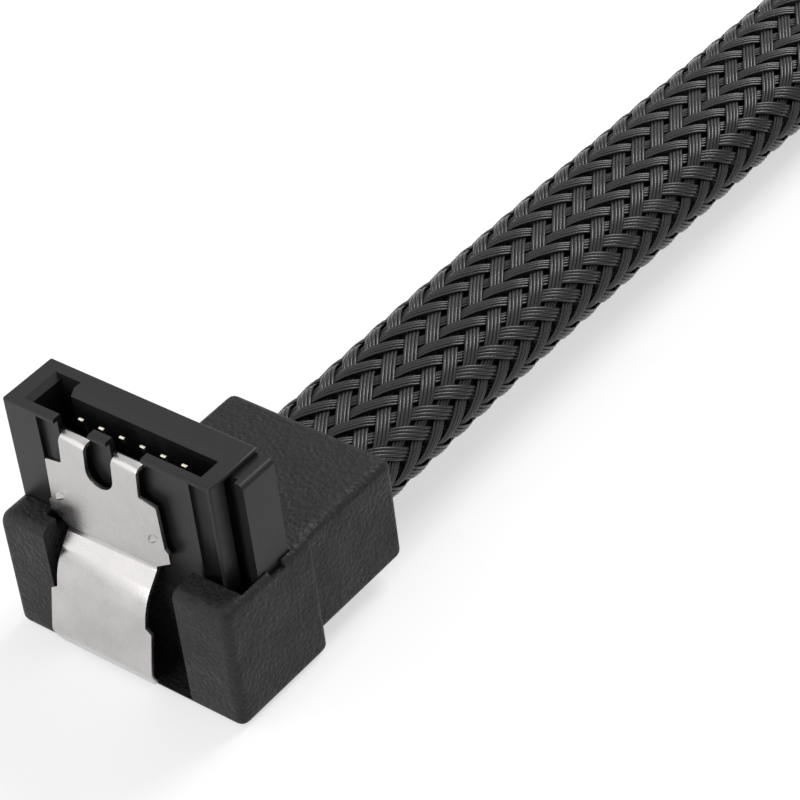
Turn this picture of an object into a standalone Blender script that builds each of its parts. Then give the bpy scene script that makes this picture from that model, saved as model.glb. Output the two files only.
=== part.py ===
"""Data cable with a right-angled latching plug, a sleeved cord and a straight far plug.

Everything is in metres, +Z up.  Each plug is drawn in its own datum: X runs along the row
of contacts from their middle, Y runs back from the insert's front face, and Z is 0 at the
mating face and negative towards the moulded body.  An empty places each plug in the world.
"""

import math

import bmesh
import bpy
from mathutils import Matrix, Vector

# Insert: the smooth black body that holds the contacts
CONTACT_COUNT = 7
CONTACT_PITCH = 0.00127
INSERT_LEFT = 0.0065
INSERT_RIGHT = 0.0063
INSERT_THICKNESS = 0.00346
INSERT_REACH = 0.0059
INSERT_SEAT = 0.0020
INSERT_EDGE = 0.00008

# Slot with its key leg
SLOT_HALF_LENGTH = 0.00524
SLOT_FRONT_WALL = 0.00058
SLOT_OPENING = 0.0014
SLOT_DEPTH = 0.0055
KEY_LENGTH = 0.00129
KEY_REACH = 0.00217
LEAD_IN = 0.0003

# Front of the insert: recessed panel and the two notches for the latch hooks
PANEL_DEPTH = 0.00025
PANEL_LEFT_LAND = 0.0021
PANEL_RIGHT_LAND = 0.0013
NOTCH_DEPTH = 0.00034
NOTCH_HEIGHT = 0.0028

# Right end of the insert: two upright grooves, a rib and the rear flange
FLANGE_STANDOUT = 0.00085
FLANGE_FRONT = 0.00125
FLANGE_DROP = 0.00035
END_GROOVE_RADIUS = 0.00055
SIDE_GROOVE_FRONT = 0.00095
SIDE_GROOVE_WIDTH = 0.00058
SIDE_GROOVE_DEPTH = 0.0007
GROOVE_TOP = 0.0002

# Contacts
CONTACT_WIDTH = 0.00032
CONTACT_THICKNESS = 0.00015
CONTACT_TIP_DROP = 0.00045
KEY_CONTACT_TIP_DROP = 0.00135
CONTACT_STANDOFF = 0.00022
CONTACT_BOW = 0.00042
CONTACT_SPRING = 0.0009
CONTACT_TAIL = 0.0016

# Moulded body of the angled plug
BODY_LEFT = 0.0066
BODY_RIGHT = 0.0075
BODY_FRONT = 0.00164
BODY_BACK = 0.0049
BODY_HEIGHT = 0.00735
BODY_EDGE = 0.0004
BODY_SHOULDER = 0.0010
WINDOW_LEFT = 0.0036
WINDOW_RIGHT = 0.0043
WINDOW_SILL = 0.0004
EXIT_LEFT = 0.00277
EXIT_RIGHT_INSET = 0.00025
EXIT_BACK = 0.01122
EXIT_LIFT = 0.00105
SIDE_NOTCH_FRONT = 0.0018
SIDE_NOTCH_LENGTH = 0.0010
SIDE_NOTCH_DEPTH = 0.0004

# Moulded body of the straight far plug
FAR_BODY_LENGTH = 0.0096
FAR_TAIL_LENGTH = 0.0045
FAR_TAIL_WIDTH = 0.0102
FAR_TAIL_THICKNESS = 0.0057

# Latch clip, a stamped and bent steel strip
CLIP_CENTRE = -0.00055
CLIP_THICKNESS = 0.0002
CLIP_STANDOFF = 0.00035
CLIP_TOP_DROP = 0.0001
CLIP_HOOK_BEND = 0.0003
HOOK_INNER = 0.00085
HOOK_OUTER = 0.0024
SHOULDER_HALF = 0.00345
WING_HALF = 0.00375
NECK_HALF = 0.0028
PAD_HALF = 0.00318
FOOT_HALF = 0.0028
SHOULDER_DROP = 0.0022
NOTCH_FLOOR_DROP = 0.00275
WING_DROP = 0.0051
WING_FOOT_DROP = 0.0057
NECK_DROP = 0.0063
FOLD_DROP = 0.00645
PAD_DROP = 0.0093
PAD_FOOT_DROP = 0.0123
FOLD_RADIUS = 0.0006
KNEE_SHARE = 0.58
KNEE_FALL = 0.00135
KNEE_RADIUS = 0.0012
BELLY_STANDOFF = 0.0024
BELLY_DROP = 0.01165
BELLY_RADIUS = 0.0007
FOOT_TUCK = 0.82
FOOT_RISE = 0.0001
FOOT_RADIUS = 0.0004
FOOT_LENGTH = 0.0018
SHOULDER_TAPER = 0.0001
STEP_TAPER = 0.0002
BARB_HEIGHT = 0.0002
BARB_WIDTH = 0.0005
BARB_OFFSET = 0.0029
BARB_DROP = 0.0048

# Cord: a flattened sleeve, drawn outside the coil as a round tube of its mean size
SLEEVE_WIDTH = 0.0078
SLEEVE_HEIGHT = 0.0046
RUN_STEPS = 8
TAIL_STEPS = 24

# Coil: a first turn, a drift inwards beside it, part of a second turn and an inner arc
COIL_Y = 0.084
COIL_RADIUS = 0.046
COIL_ARC_STEPS = 48
TURN_SPACING = 0.0081
DRIFT_TURNED = 1.9
SECOND_TURNED = 1.593
INNER_RADIUS = 0.031
INNER_TURNED = 2.6

# Running gaps
FIT_GAP = 0.00006
JOINT_GAP = 0.0003

ARC_STEPS = 5
MERGE = 0.00001

PLUG_HEIGHT = INSERT_REACH + BODY_HEIGHT
CORD_RADIUS = (SLEEVE_WIDTH + SLEEVE_HEIGHT) / 4
EXIT_X = (BODY_RIGHT - EXIT_RIGHT_INSET - EXIT_LEFT) / 2
EXIT_Z = (BODY_HEIGHT + EXIT_LIFT) / 2
PLUG_PLACE = Vector(
    (
        (BODY_LEFT - BODY_RIGHT) / 2,
        (BELLY_STANDOFF - EXIT_BACK) / 2,
        PLUG_HEIGHT,
    )
)

BLACK_INSERT = ("insert_plastic", (0.035, 0.035, 0.037, 1), 0.42, 0.0)
BLACK_MOULDING = ("moulded_body", (0.045, 0.045, 0.047, 1), 0.75, 0.0)
STEEL = ("latch_steel", (0.78, 0.78, 0.77, 1), 0.28, 1.0)
CONTACT_METAL = ("contact_metal", (0.86, 0.82, 0.72, 1), 0.3, 1.0)
BRAID = ("sleeve_braid", (0.03, 0.03, 0.032, 1), 0.55, 0.0)


def clear_scene():
    """Remove every object that the file opened with."""
    for item in list(bpy.data.objects):
        bpy.data.objects.remove(item, do_unlink=True)


def new_collection(name):
    """Return a new collection linked under the scene."""
    collection = bpy.data.collections.new(name)
    bpy.context.scene.collection.children.link(collection)
    return collection


def material(finish):
    """Return the Principled material of a finish, made once."""
    name, colour, roughness, metallic = finish
    found = bpy.data.materials.get(name)
    if found:
        return found
    made = bpy.data.materials.new(name)
    made.use_nodes = True
    made.diffuse_color = colour
    shader = made.node_tree.nodes["Principled BSDF"]
    shader.inputs["Base Color"].default_value = colour
    shader.inputs["Roughness"].default_value = roughness
    shader.inputs["Metallic"].default_value = metallic
    return made


def add_object(name, bm, collection, parent, finish=None):
    """Turn a bmesh into an object in a collection, under a parent empty."""
    mesh = bpy.data.meshes.new(name)
    bm.to_mesh(mesh)
    bm.free()
    item = bpy.data.objects.new(name, mesh)
    collection.objects.link(item)
    item.parent = parent
    if finish:
        mesh.materials.append(material(finish))
    return item


def hide_cutter(item):
    """Leave a cutter out of the finished part."""
    item.hide_render = True
    item.display_type = "WIRE"


def box_bmesh(low, high):
    """Return a bmesh box between two corners."""
    bm = bmesh.new()
    bmesh.ops.create_cube(bm, size=1.0)
    size = Vector(high) - Vector(low)
    middle = (Vector(high) + Vector(low)) / 2
    bmesh.ops.scale(bm, vec=size, verts=bm.verts)
    bmesh.ops.translate(bm, vec=middle, verts=bm.verts)
    return bm


def flare_top(bm, top, left=0.0, right=0.0, front=0.0, back=0.0):
    """Widen the face of a box that lies at z = top, for a lead-in chamfer."""
    upper = [v for v in bm.verts if abs(v.co.z - top) < MERGE]
    middle = sum((v.co for v in upper), Vector()) / len(upper)
    for vert in upper:
        vert.co.x += right if vert.co.x > middle.x else -left
        vert.co.y += back if vert.co.y > middle.y else -front
    return bm


def cut(item, bm, name, tools, operation="DIFFERENCE"):
    """Cut a bmesh out of an object, or join it on, with an exact Boolean."""
    cutter = add_object(name, bm, tools, item.parent)
    cutter.location = item.location
    hide_cutter(cutter)
    modifier = item.modifiers.new(name, "BOOLEAN")
    modifier.operation = operation
    modifier.object = cutter
    modifier.solver = "EXACT"
    return cutter


def round_edges(item, width, segments):
    """Round the edges of an object that meet at more than 40 degrees."""
    bevel = item.modifiers.new("rounding", "BEVEL")
    bevel.width = width
    bevel.segments = segments
    bevel.limit_method = "ANGLE"
    bevel.angle_limit = math.radians(40)


def shade_smooth(item):
    """Shade an object smooth and keep its creases sharp."""
    item.data.shade_smooth()
    item.data.set_sharp_from_angle(angle=math.radians(35))


def rounded_path(corners):
    """Return the points of a polyline whose inner corners are turned into arcs.

    corners holds (first, second, radius) for each point, and the radius of the first and
    the last is not used.
    """
    points = [Vector(corners[0][:2])]
    for before, here, after in zip(corners, corners[1:], corners[2:]):
        corner = Vector(here[:2])
        back = (Vector(before[:2]) - corner).normalized()
        ahead = (Vector(after[:2]) - corner).normalized()
        half = back.angle(ahead) / 2
        reach = here[2] / math.tan(half)
        centre = corner + (back + ahead).normalized() * (here[2] / math.sin(half))
        start = corner + back * reach - centre
        sweep = (corner + ahead * reach - centre).angle_signed(start)
        for step in range(ARC_STEPS + 1):
            turned = start.copy()
            turned.rotate(Matrix.Rotation(sweep * step / ARC_STEPS, 2))
            points.append(centre + turned)
    points.append(Vector(corners[-1][:2]))
    return points


def path_lengths(points):
    """Return the distance along a polyline to each of its points."""
    lengths = [0.0]
    for one, two in zip(points, points[1:]):
        lengths.append(lengths[-1] + (two - one).length)
    return lengths


def point_along(points, lengths, distance):
    """Return the point of a polyline at a distance from its start."""
    for one, two, start, end in zip(points, points[1:], lengths, lengths[1:]):
        if distance <= end:
            return one.lerp(two, (distance - start) / (end - start))
    return points[-1].copy()


def insert_housing(prefix, parts, tools, parent):
    """Build the insert with its keyed slot, latch recess and end grooves."""
    low = (-INSERT_LEFT, 0, -INSERT_REACH - INSERT_SEAT)
    item = add_object(
        prefix + "insert_housing",
        box_bmesh(low, (INSERT_RIGHT, INSERT_THICKNESS, 0)),
        parts,
        parent,
        BLACK_INSERT,
    )
    round_edges(item, INSERT_EDGE, 2)
    add_flange(item, prefix, tools)
    cut_front(item, prefix, tools)
    cut_slot(item, prefix, tools)
    cut_contact_slits(item, prefix, tools)
    return item


def add_flange(item, prefix, tools):
    """Join the rear flange to the right end and cut the two upright grooves."""
    outer = INSERT_RIGHT + FLANGE_STANDOUT
    foot = -INSERT_REACH - INSERT_SEAT
    flange = box_bmesh(
        (INSERT_RIGHT - FLANGE_STANDOUT, FLANGE_FRONT, foot + INSERT_EDGE),
        (outer, INSERT_THICKNESS - INSERT_EDGE, -FLANGE_DROP),
    )
    rim = [e for e in flange.edges if all(v.co.z > -FLANGE_DROP - MERGE for v in e.verts)]
    bmesh.ops.bevel(flange, geom=rim, offset=LEAD_IN, segments=1, affect="EDGES")
    cut(item, flange, prefix + "flange", tools, "UNION")
    groove = bmesh.new()
    bmesh.ops.create_cone(
        groove,
        cap_ends=True,
        segments=24,
        radius1=END_GROOVE_RADIUS,
        radius2=END_GROOVE_RADIUS,
        depth=-foot,
    )
    middle = Vector((INSERT_RIGHT - PANEL_RIGHT_LAND + END_GROOVE_RADIUS, 0, foot / 2 - GROOVE_TOP))
    bmesh.ops.translate(groove, vec=middle, verts=groove.verts)
    cut(item, groove, prefix + "end_groove_tool", tools)
    side = box_bmesh(
        (INSERT_RIGHT - SIDE_GROOVE_DEPTH, SIDE_GROOVE_FRONT, foot - MERGE * 10),
        (INSERT_RIGHT + SIDE_GROOVE_DEPTH / 2, SIDE_GROOVE_FRONT + SIDE_GROOVE_WIDTH, -GROOVE_TOP),
    )
    cut(item, side, prefix + "side_groove_tool", tools)


def hook_span(side):
    """Return the X range of the notch that one hook of the latch clip sits in."""
    inner = CLIP_CENTRE + side * (HOOK_INNER - JOINT_GAP)
    outer = CLIP_CENTRE + side * (HOOK_OUTER + JOINT_GAP)
    return min(inner, outer), max(inner, outer)


def cut_front(item, prefix, tools):
    """Recess the front panel and cut the notches that take the latch hooks."""
    foot = -INSERT_REACH - INSERT_SEAT
    left = PANEL_LEFT_LAND - INSERT_LEFT
    right = INSERT_RIGHT - PANEL_RIGHT_LAND
    panel = box_bmesh((left, -PANEL_DEPTH, foot - PANEL_DEPTH), (right, PANEL_DEPTH, -PANEL_DEPTH))
    cut(item, panel, prefix + "panel_tool", tools)
    for number, side in enumerate((-1, 1), 1):
        start, end = hook_span(side)
        notch = box_bmesh((start, -NOTCH_DEPTH, -NOTCH_HEIGHT), (end, NOTCH_DEPTH, NOTCH_DEPTH))
        cut(item, notch, f"{prefix}notch_tool_{number}", tools)


def cut_slot(item, prefix, tools):
    """Cut the narrow slot, its key leg and the lead-in chamfers at the mating face."""
    above = LEAD_IN
    front = SLOT_FRONT_WALL
    back = front + SLOT_OPENING
    slot = box_bmesh((-SLOT_HALF_LENGTH, front, -SLOT_DEPTH), (SLOT_HALF_LENGTH, back, above))
    cut(item, slot, prefix + "slot_tool", tools)
    key_right = KEY_LENGTH - SLOT_HALF_LENGTH
    key = box_bmesh((-SLOT_HALF_LENGTH, front, -SLOT_DEPTH), (key_right, front + KEY_REACH, above))
    cut(item, key, prefix + "key_tool", tools)
    lead = box_bmesh((-SLOT_HALF_LENGTH, front, -LEAD_IN), (SLOT_HALF_LENGTH, back, above))
    flare_top(lead, above, left=2 * LEAD_IN, right=LEAD_IN, back=2 * LEAD_IN)
    cut(item, lead, prefix + "lead_in_tool", tools)
    key_lead = box_bmesh((-SLOT_HALF_LENGTH, front, -LEAD_IN), (key_right, front + KEY_REACH, above))
    flare_top(key_lead, above, left=2 * LEAD_IN)
    cut(item, key_lead, prefix + "key_lead_in_tool", tools)


def contact_x(number):
    """Return where a contact stands along the row, counted from 0 at the key."""
    return (number - (CONTACT_COUNT - 1) / 2) * CONTACT_PITCH


def cut_contact_slits(item, prefix, tools):
    """Cut the slits in the slot's floor that hold the contacts' tails."""
    front = SLOT_FRONT_WALL + CONTACT_STANDOFF
    half = CONTACT_WIDTH / 2 + FIT_GAP
    for number in range(CONTACT_COUNT):
        middle = contact_x(number)
        slit = box_bmesh(
            (middle - half, front - FIT_GAP, -SLOT_DEPTH - CONTACT_TAIL),
            (middle + half, front + CONTACT_THICKNESS + FIT_GAP, FIT_GAP - SLOT_DEPTH),
        )
        cut(item, slit, f"{prefix}slit_tool_{number + 1}", tools)


def contact_profile(tip_drop):
    """Return a contact's side view: straight tail, bowed spring and tip turned back."""
    front = SLOT_FRONT_WALL + CONTACT_STANDOFF
    bow = front + CONTACT_BOW
    tail = -SLOT_DEPTH - CONTACT_TAIL + FIT_GAP
    return rounded_path(
        (
            (front, tail, 0),
            (front, -SLOT_DEPTH / 2 - tip_drop, CONTACT_BOW),
            (bow, -tip_drop - CONTACT_SPRING, CONTACT_BOW),
            (front + CONTACT_BOW / 2, -tip_drop, 0),
        )
    )


def contact(name, number, parts, parent):
    """Build one contact as a bent strip of sheet."""
    tip_drop = KEY_CONTACT_TIP_DROP if number == 0 else CONTACT_TIP_DROP
    half = CONTACT_WIDTH / 2
    bm = bmesh.new()
    rows = []
    for y, z in contact_profile(tip_drop):
        rows.append([bm.verts.new((side * half, y, z)) for side in (-1, 1)])
    for one, two in zip(rows, rows[1:]):
        bm.faces.new((one[0], one[1], two[1], two[0]))
    item = add_object(name, bm, parts, parent, CONTACT_METAL)
    item.location.x = contact_x(number)
    sheet = item.modifiers.new("sheet", "SOLIDIFY")
    sheet.thickness = CONTACT_THICKNESS
    sheet.offset = -1
    shade_smooth(item)
    return item


def clip_profile():
    """Return the clip's outer side view as (y, z), from its hooks down to its foot."""
    face = -CLIP_STANDOFF
    floor = WINDOW_SILL - PLUG_HEIGHT + FIT_GAP
    belly = -BELLY_STANDOFF
    knee = face + KNEE_SHARE * (belly - face)
    foot = FOOT_TUCK * belly
    return rounded_path(
        (
            (face + CLIP_HOOK_BEND + CLIP_THICKNESS / 2, -CLIP_TOP_DROP, 0),
            (face, -CLIP_TOP_DROP, CLIP_HOOK_BEND),
            (face, -FOLD_DROP, FOLD_RADIUS),
            (knee, -FOLD_DROP - KNEE_FALL, KNEE_RADIUS),
            (belly, -BELLY_DROP, BELLY_RADIUS),
            (foot, floor + FOOT_RISE, FOOT_RADIUS),
            (foot + FOOT_LENGTH, floor, 0),
        )
    )


def clip_half_outline(profile, lengths):
    """Return half of the flat blank as (half width, distance along the profile)."""

    def at_drop(drop):
        """Return the distance along the profile where its face reaches a drop."""
        for one, two, start, end in zip(profile[1:], profile[2:], lengths[1:], lengths[2:]):
            if one.y >= -drop >= two.y:
                return start + (end - start) * (one.y + drop) / (one.y - two.y)
        return lengths[-1]

    hook_foot = at_drop(NOTCH_FLOOR_DROP)
    notch_start = at_drop(NOTCH_FLOOR_DROP - HOOK_INNER)
    outline = [(HOOK_INNER, 0.0), (HOOK_OUTER, 0.0)]
    steps = (
        (HOOK_OUTER, SHOULDER_DROP),
        (SHOULDER_HALF, SHOULDER_DROP + STEP_TAPER),
        (SHOULDER_HALF + SHOULDER_TAPER, WING_DROP - STEP_TAPER),
        (WING_HALF, WING_DROP),
        (WING_HALF, WING_FOOT_DROP),
        (NECK_HALF, NECK_DROP),
        (NECK_HALF, PAD_DROP - STEP_TAPER),
        (PAD_HALF, PAD_DROP),
        (PAD_HALF, PAD_FOOT_DROP),
        (FOOT_HALF, PAD_FOOT_DROP + STEP_TAPER),
    )
    outline += [(half, at_drop(drop)) for half, drop in steps]
    outline += [(FOOT_HALF, lengths[-1]), (0.0, lengths[-1]), (0.0, hook_foot)]
    for step in range(1, ARC_STEPS + 1):
        angle = math.pi / 2 * step / ARC_STEPS
        across = HOOK_INNER * math.sin(angle)
        outline.append((across, notch_start + (hook_foot - notch_start) * math.cos(angle)))
    return outline


def latch_clip(name, parts, tools, parent):
    """Build the clip: half a flat blank, bent over its profile, mirrored and thickened."""
    profile = clip_profile()
    lengths = path_lengths(profile)
    bm = bmesh.new()
    outline = clip_half_outline(profile, lengths)
    bm.faces.new([bm.verts.new((-half, 0, -along)) for half, along in outline])
    for length in lengths[1:-1]:
        geometry = bm.verts[:] + bm.edges[:] + bm.faces[:]
        bmesh.ops.bisect_plane(
            bm, geom=geometry, plane_co=(0, 0, -length), plane_no=(0, 0, 1), dist=MERGE / 10
        )
    bmesh.ops.triangulate(bm, faces=[f for f in bm.faces if len(f.verts) > 4])
    axis = clip_axis()
    for vert in bm.verts:
        y, z = point_along(profile, lengths, -vert.co.z)
        vert.co = (vert.co.x + CLIP_CENTRE, y - axis.y, z - axis.z)
    item = add_object(name, bm, parts, parent, STEEL)
    middle = bpy.data.objects.new(name + "_middle", None)
    tools.objects.link(middle)
    middle.parent = parent
    middle.location = (CLIP_CENTRE, axis.y, axis.z)
    item.location = (0, axis.y, axis.z)
    mirror = item.modifiers.new("other_half", "MIRROR")
    mirror.mirror_object = middle
    mirror.merge_threshold = MERGE
    mirror.use_clip = True
    sheet = item.modifiers.new("sheet", "SOLIDIFY")
    sheet.thickness = CLIP_THICKNESS
    sheet.offset = -1
    for number, side in enumerate((-1, 1), 1):
        barb = barb_bmesh()
        place = Vector((CLIP_CENTRE + side * BARB_OFFSET, -CLIP_STANDOFF, -BARB_DROP)) - axis
        place.x += axis.x
        bmesh.ops.translate(barb, vec=place, verts=barb.verts)
        cut(item, barb, f"{name}_barb_{number}", tools, "UNION")
    shade_smooth(item)
    return item


def clip_axis():
    """Return the point on the foot about which the clip rocks."""
    floor = WINDOW_SILL - PLUG_HEIGHT
    middle = FOOT_LENGTH / 2 - FOOT_TUCK * BELLY_STANDOFF
    return Vector((0, middle, floor + FIT_GAP + CLIP_THICKNESS / 2))


def barb_bmesh():
    """Return one latching barb, a wedge that rises towards the moulded body."""
    half = BARB_WIDTH / 2
    barb = box_bmesh((-half, -BARB_HEIGHT, -half), (half, CLIP_THICKNESS / 2, half))
    for vert in barb.verts:
        if vert.co.z > 0 and vert.co.y < 0:
            vert.co.y = -MERGE
    return barb


def angled_body(name, parts, tools, parent):
    """Build the moulded body of the angled plug: front block and rear cable block."""
    foot = -PLUG_HEIGHT
    top = -INSERT_REACH
    block = box_bmesh((-BODY_LEFT, -BODY_FRONT, foot), (BODY_RIGHT, BODY_BACK, top))
    shoulder = [e for e in block.edges if all(v.co.z > top - MERGE and v.co.x < 0 for v in e.verts)]
    bmesh.ops.bevel(
        block, geom=shoulder, offset=BODY_SHOULDER, segments=4, profile=0.5, affect="EDGES"
    )
    item = add_object(name, block, parts, parent, BLACK_MOULDING)
    round_edges(item, BODY_EDGE, 4)
    right = BODY_RIGHT - EXIT_RIGHT_INSET
    rear = box_bmesh((-EXIT_LEFT, BODY_BACK / 2, foot + EXIT_LIFT), (right, EXIT_BACK, top - MERGE))
    bmesh.ops.bevel(rear, geom=rear.edges[:], offset=BODY_EDGE, segments=4, profile=0.5, affect="EDGES")
    cut(item, rear, name + "_rear_block", tools, "UNION")
    notch = box_bmesh(
        (BODY_RIGHT - SIDE_NOTCH_DEPTH, SIDE_NOTCH_FRONT, top - SIDE_NOTCH_DEPTH),
        (BODY_RIGHT + BODY_EDGE, SIDE_NOTCH_FRONT + SIDE_NOTCH_LENGTH, top + BODY_EDGE),
    )
    cut(item, notch, name + "_side_notch_tool", tools)
    cut_body(item, tools)
    return item


def straight_body(name, parts, tools, parent):
    """Build the moulded body of the straight far plug, with a narrower tail."""
    top = -INSERT_REACH
    foot = top - FAR_BODY_LENGTH
    block = box_bmesh((-BODY_LEFT, -BODY_FRONT, foot), (BODY_RIGHT, BODY_BACK, top))
    item = add_object(name, block, parts, parent, BLACK_MOULDING)
    round_edges(item, BODY_EDGE, 4)
    middle_x = (BODY_RIGHT - BODY_LEFT) / 2
    middle_y = (BODY_BACK - BODY_FRONT) / 2
    half_x = FAR_TAIL_WIDTH / 2
    half_y = FAR_TAIL_THICKNESS / 2
    tail = box_bmesh(
        (middle_x - half_x, middle_y - half_y, foot - FAR_TAIL_LENGTH),
        (middle_x + half_x, middle_y + half_y, foot + FAR_TAIL_LENGTH / 2),
    )
    bmesh.ops.bevel(tail, geom=tail.edges[:], offset=BODY_EDGE, segments=3, profile=0.5, affect="EDGES")
    cut(item, tail, name + "_tail", tools, "UNION")
    cut_body(item, tools)
    return item


def cut_body(item, tools):
    """Cut the pocket for the insert and the window for the clip."""
    top = -INSERT_REACH
    pocket_floor = top - INSERT_SEAT - FIT_GAP
    pocket = box_bmesh(
        (-INSERT_LEFT - FIT_GAP, -FIT_GAP, pocket_floor),
        (INSERT_RIGHT + FLANGE_STANDOUT + FIT_GAP, INSERT_THICKNESS + FIT_GAP, top + INSERT_SEAT),
    )
    cut(item, pocket, item.name + "_pocket_tool", tools)
    window = box_bmesh(
        (-WINDOW_LEFT, -BODY_FRONT - BODY_EDGE, WINDOW_SILL - PLUG_HEIGHT),
        (WINDOW_RIGHT, PANEL_DEPTH + FIT_GAP, top + INSERT_SEAT),
    )
    cut(item, window, item.name + "_window_tool", tools)
    wing_reach = WING_HALF + JOINT_GAP / 2
    wing_room = box_bmesh(
        (CLIP_CENTRE - wing_reach, -CLIP_STANDOFF - JOINT_GAP, -NECK_DROP - JOINT_GAP),
        (CLIP_CENTRE + wing_reach, PANEL_DEPTH, top + INSERT_SEAT),
    )
    cut(item, wing_room, item.name + "_wing_room_tool", tools)


def plug(prefix, body_name, body_builder, matrix, parts, tools):
    """Build one whole plug under an empty that stands at its datum."""
    datum = bpy.data.objects.new(prefix + "plug_datum", None)
    tools.objects.link(datum)
    datum.matrix_world = matrix
    body_builder(body_name, parts, tools, datum)
    insert_housing(prefix, parts, tools, datum)
    latch_clip(prefix + "latch_clip", parts, tools, datum)
    for number in range(CONTACT_COUNT):
        contact(f"{prefix}contact_{number + 1}", number, parts, datum)


def tube(name, points, parts):
    """Build a stretch of cord as a bevelled curve with closed ends."""
    curve = bpy.data.curves.new(name, "CURVE")
    curve.dimensions = "3D"
    curve.bevel_depth = CORD_RADIUS
    curve.bevel_resolution = 2
    curve.use_fill_caps = True
    spline = curve.splines.new("POLY")
    spline.points.add(len(points) - 1)
    for spot, point in zip(spline.points, points):
        spot.co = (*point, 1.0)
    spline.use_smooth = True
    curve.materials.append(material(BRAID))
    item = bpy.data.objects.new(name, curve)
    parts.objects.link(item)
    return item


def smooth_route(points, spacing):
    """Return points a spacing apart on a smooth curve through a route's own points."""
    ends = [2 * points[0] - points[1]] + list(points) + [2 * points[-1] - points[-2]]
    dense = []
    for p0, p1, p2, p3 in zip(ends, ends[1:], ends[2:], ends[3:]):
        for step in range(16):
            t = step / 16
            dense.append(
                0.5
                * (
                    2 * p1
                    + (p2 - p0) * t
                    + (2 * p0 - 5 * p1 + 4 * p2 - p3) * t ** 2
                    + (3 * p1 - p0 - 3 * p2 + p3) * t ** 3
                )
            )
    dense.append(points[-1])
    lengths = path_lengths(dense)
    count = max(2, round(lengths[-1] / spacing))
    return [point_along(dense, lengths, lengths[-1] * n / count) for n in range(count + 1)]


def ease(share):
    """Return a share from 0 to 1 that starts and ends level."""
    held = min(1.0, max(0.0, share))
    return held * held * (3 - 2 * held)


def coil_centre():
    """Return the middle of the coil on the floor."""
    return Vector((PLUG_PLACE.x + EXIT_X + COIL_RADIUS, COIL_Y, 0))


def coil_direction(turned):
    """Return the direction from the middle of a turn to the cord that has turned by an angle."""
    return Vector((-math.cos(turned), math.sin(turned), 0))


def cord_place(turned):
    """Return the cord's place once it has turned by an angle from the straight run."""
    leave = 2 * math.pi + SECOND_TURNED
    drift = ease((turned - 2 * math.pi + DRIFT_TURNED) / DRIFT_TURNED)
    radius = COIL_RADIUS - TURN_SPACING * drift
    centre = coil_centre()
    if turned > leave:
        centre += (radius - INNER_RADIUS) * coil_direction(leave)
        radius = INNER_RADIUS
    rise = ease((turned - leave) / INNER_TURNED) * (far_height() - CORD_RADIUS)
    return centre + radius * coil_direction(turned) + Vector((0, 0, CORD_RADIUS + rise))


def far_height():
    """Return the height of the cord where it enters the far plug, which lies on its back."""
    return (BODY_BACK + BODY_FRONT) / 2


def cord_run(parts):
    """Build the stretch of cord between the angled plug and the coil."""
    start = PLUG_PLACE + Vector((EXIT_X, EXIT_BACK + JOINT_GAP, -PLUG_HEIGHT + EXIT_Z))
    length = COIL_Y - JOINT_GAP - start.y
    drop = start.z - CORD_RADIUS
    shares = [n / RUN_STEPS for n in range(RUN_STEPS + 1)]
    route = [start + Vector((0, length * share, -drop * ease(share))) for share in shares]
    return tube("cable_run", smooth_route(route, 2 * SLEEVE_HEIGHT), parts)


def cord_tail(parts):
    """Build the stretch of cord that runs on beside the first turn and into the far plug."""
    start = 2 * math.pi - DRIFT_TURNED + 2 * JOINT_GAP / COIL_RADIUS
    end = 2 * math.pi + SECOND_TURNED + INNER_TURNED - 2 * JOINT_GAP / INNER_RADIUS
    turns = [start + (end - start) * n / TAIL_STEPS for n in range(TAIL_STEPS + 1)]
    return tube("cable_tail", smooth_route([cord_place(t) for t in turns], 2 * SLEEVE_HEIGHT), parts)


def coil(parts):
    """Build the coil's first turn as a flat oval section turned about the coil's middle."""
    bm = bmesh.new()
    radius = SLEEVE_HEIGHT / 2
    flat = SLEEVE_WIDTH / 2 - radius
    verts = []
    for side in (1, -1):
        for step in range(ARC_STEPS):
            angle = math.pi * step / (ARC_STEPS - 1)
            across = side * (flat + radius * math.sin(angle)) - COIL_RADIUS
            verts.append(bm.verts.new((across, 0, radius * (1 + side * math.cos(angle)))))
    bm.faces.new(verts)
    bmesh.ops.spin(
        bm,
        geom=bm.verts[:] + bm.edges[:] + bm.faces[:],
        cent=(0, 0, 0),
        axis=(0, 0, -1),
        angle=2 * math.pi - DRIFT_TURNED,
        steps=COIL_ARC_STEPS,
    )
    bmesh.ops.recalc_face_normals(bm, faces=bm.faces)
    item = add_object("cable_coil", bm, parts, None, BRAID)
    item.location = coil_centre()
    shade_smooth(item)
    return item


def far_matrix():
    """Return where the far plug lies: on its back, in line with the cord's end."""
    turned = 2 * math.pi + SECOND_TURNED + INNER_TURNED
    end = cord_place(turned)
    heading = Vector((math.sin(turned), math.cos(turned), 0))
    across = Vector((heading.y, -heading.x, 0))
    back = Vector((0, 0, -1))
    turn = Matrix((across, back, heading)).transposed().to_4x4()
    middle = Vector(
        (
            (BODY_RIGHT - BODY_LEFT) / 2,
            (BODY_BACK - BODY_FRONT) / 2,
            -INSERT_REACH - FAR_BODY_LENGTH - FAR_TAIL_LENGTH,
        )
    )
    return Matrix.Translation(end - turn.to_3x3() @ middle) @ turn


def main():
    """Build the whole cable."""
    clear_scene()
    parts = new_collection("data_cable")
    tools = new_collection("cutters")
    plug("", "overmould", angled_body, Matrix.Translation(PLUG_PLACE), parts, tools)
    cord_run(parts)
    coil(parts)
    cord_tail(parts)
    plug("far_", "far_overmould", straight_body, far_matrix(), parts, tools)


main()
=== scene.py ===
"""Looks of the sleeved data cable: moulded plugs, steel latches, contacts and woven sleeve.

Everything is in metres in the part's own frame, +Z up.  Each plug is drawn in its own
datum, where X runs along the row of contacts, Y runs back from the insert's front face and
Z is 0 at the mating face, and a matrix places it in the part's frame.
"""

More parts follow.
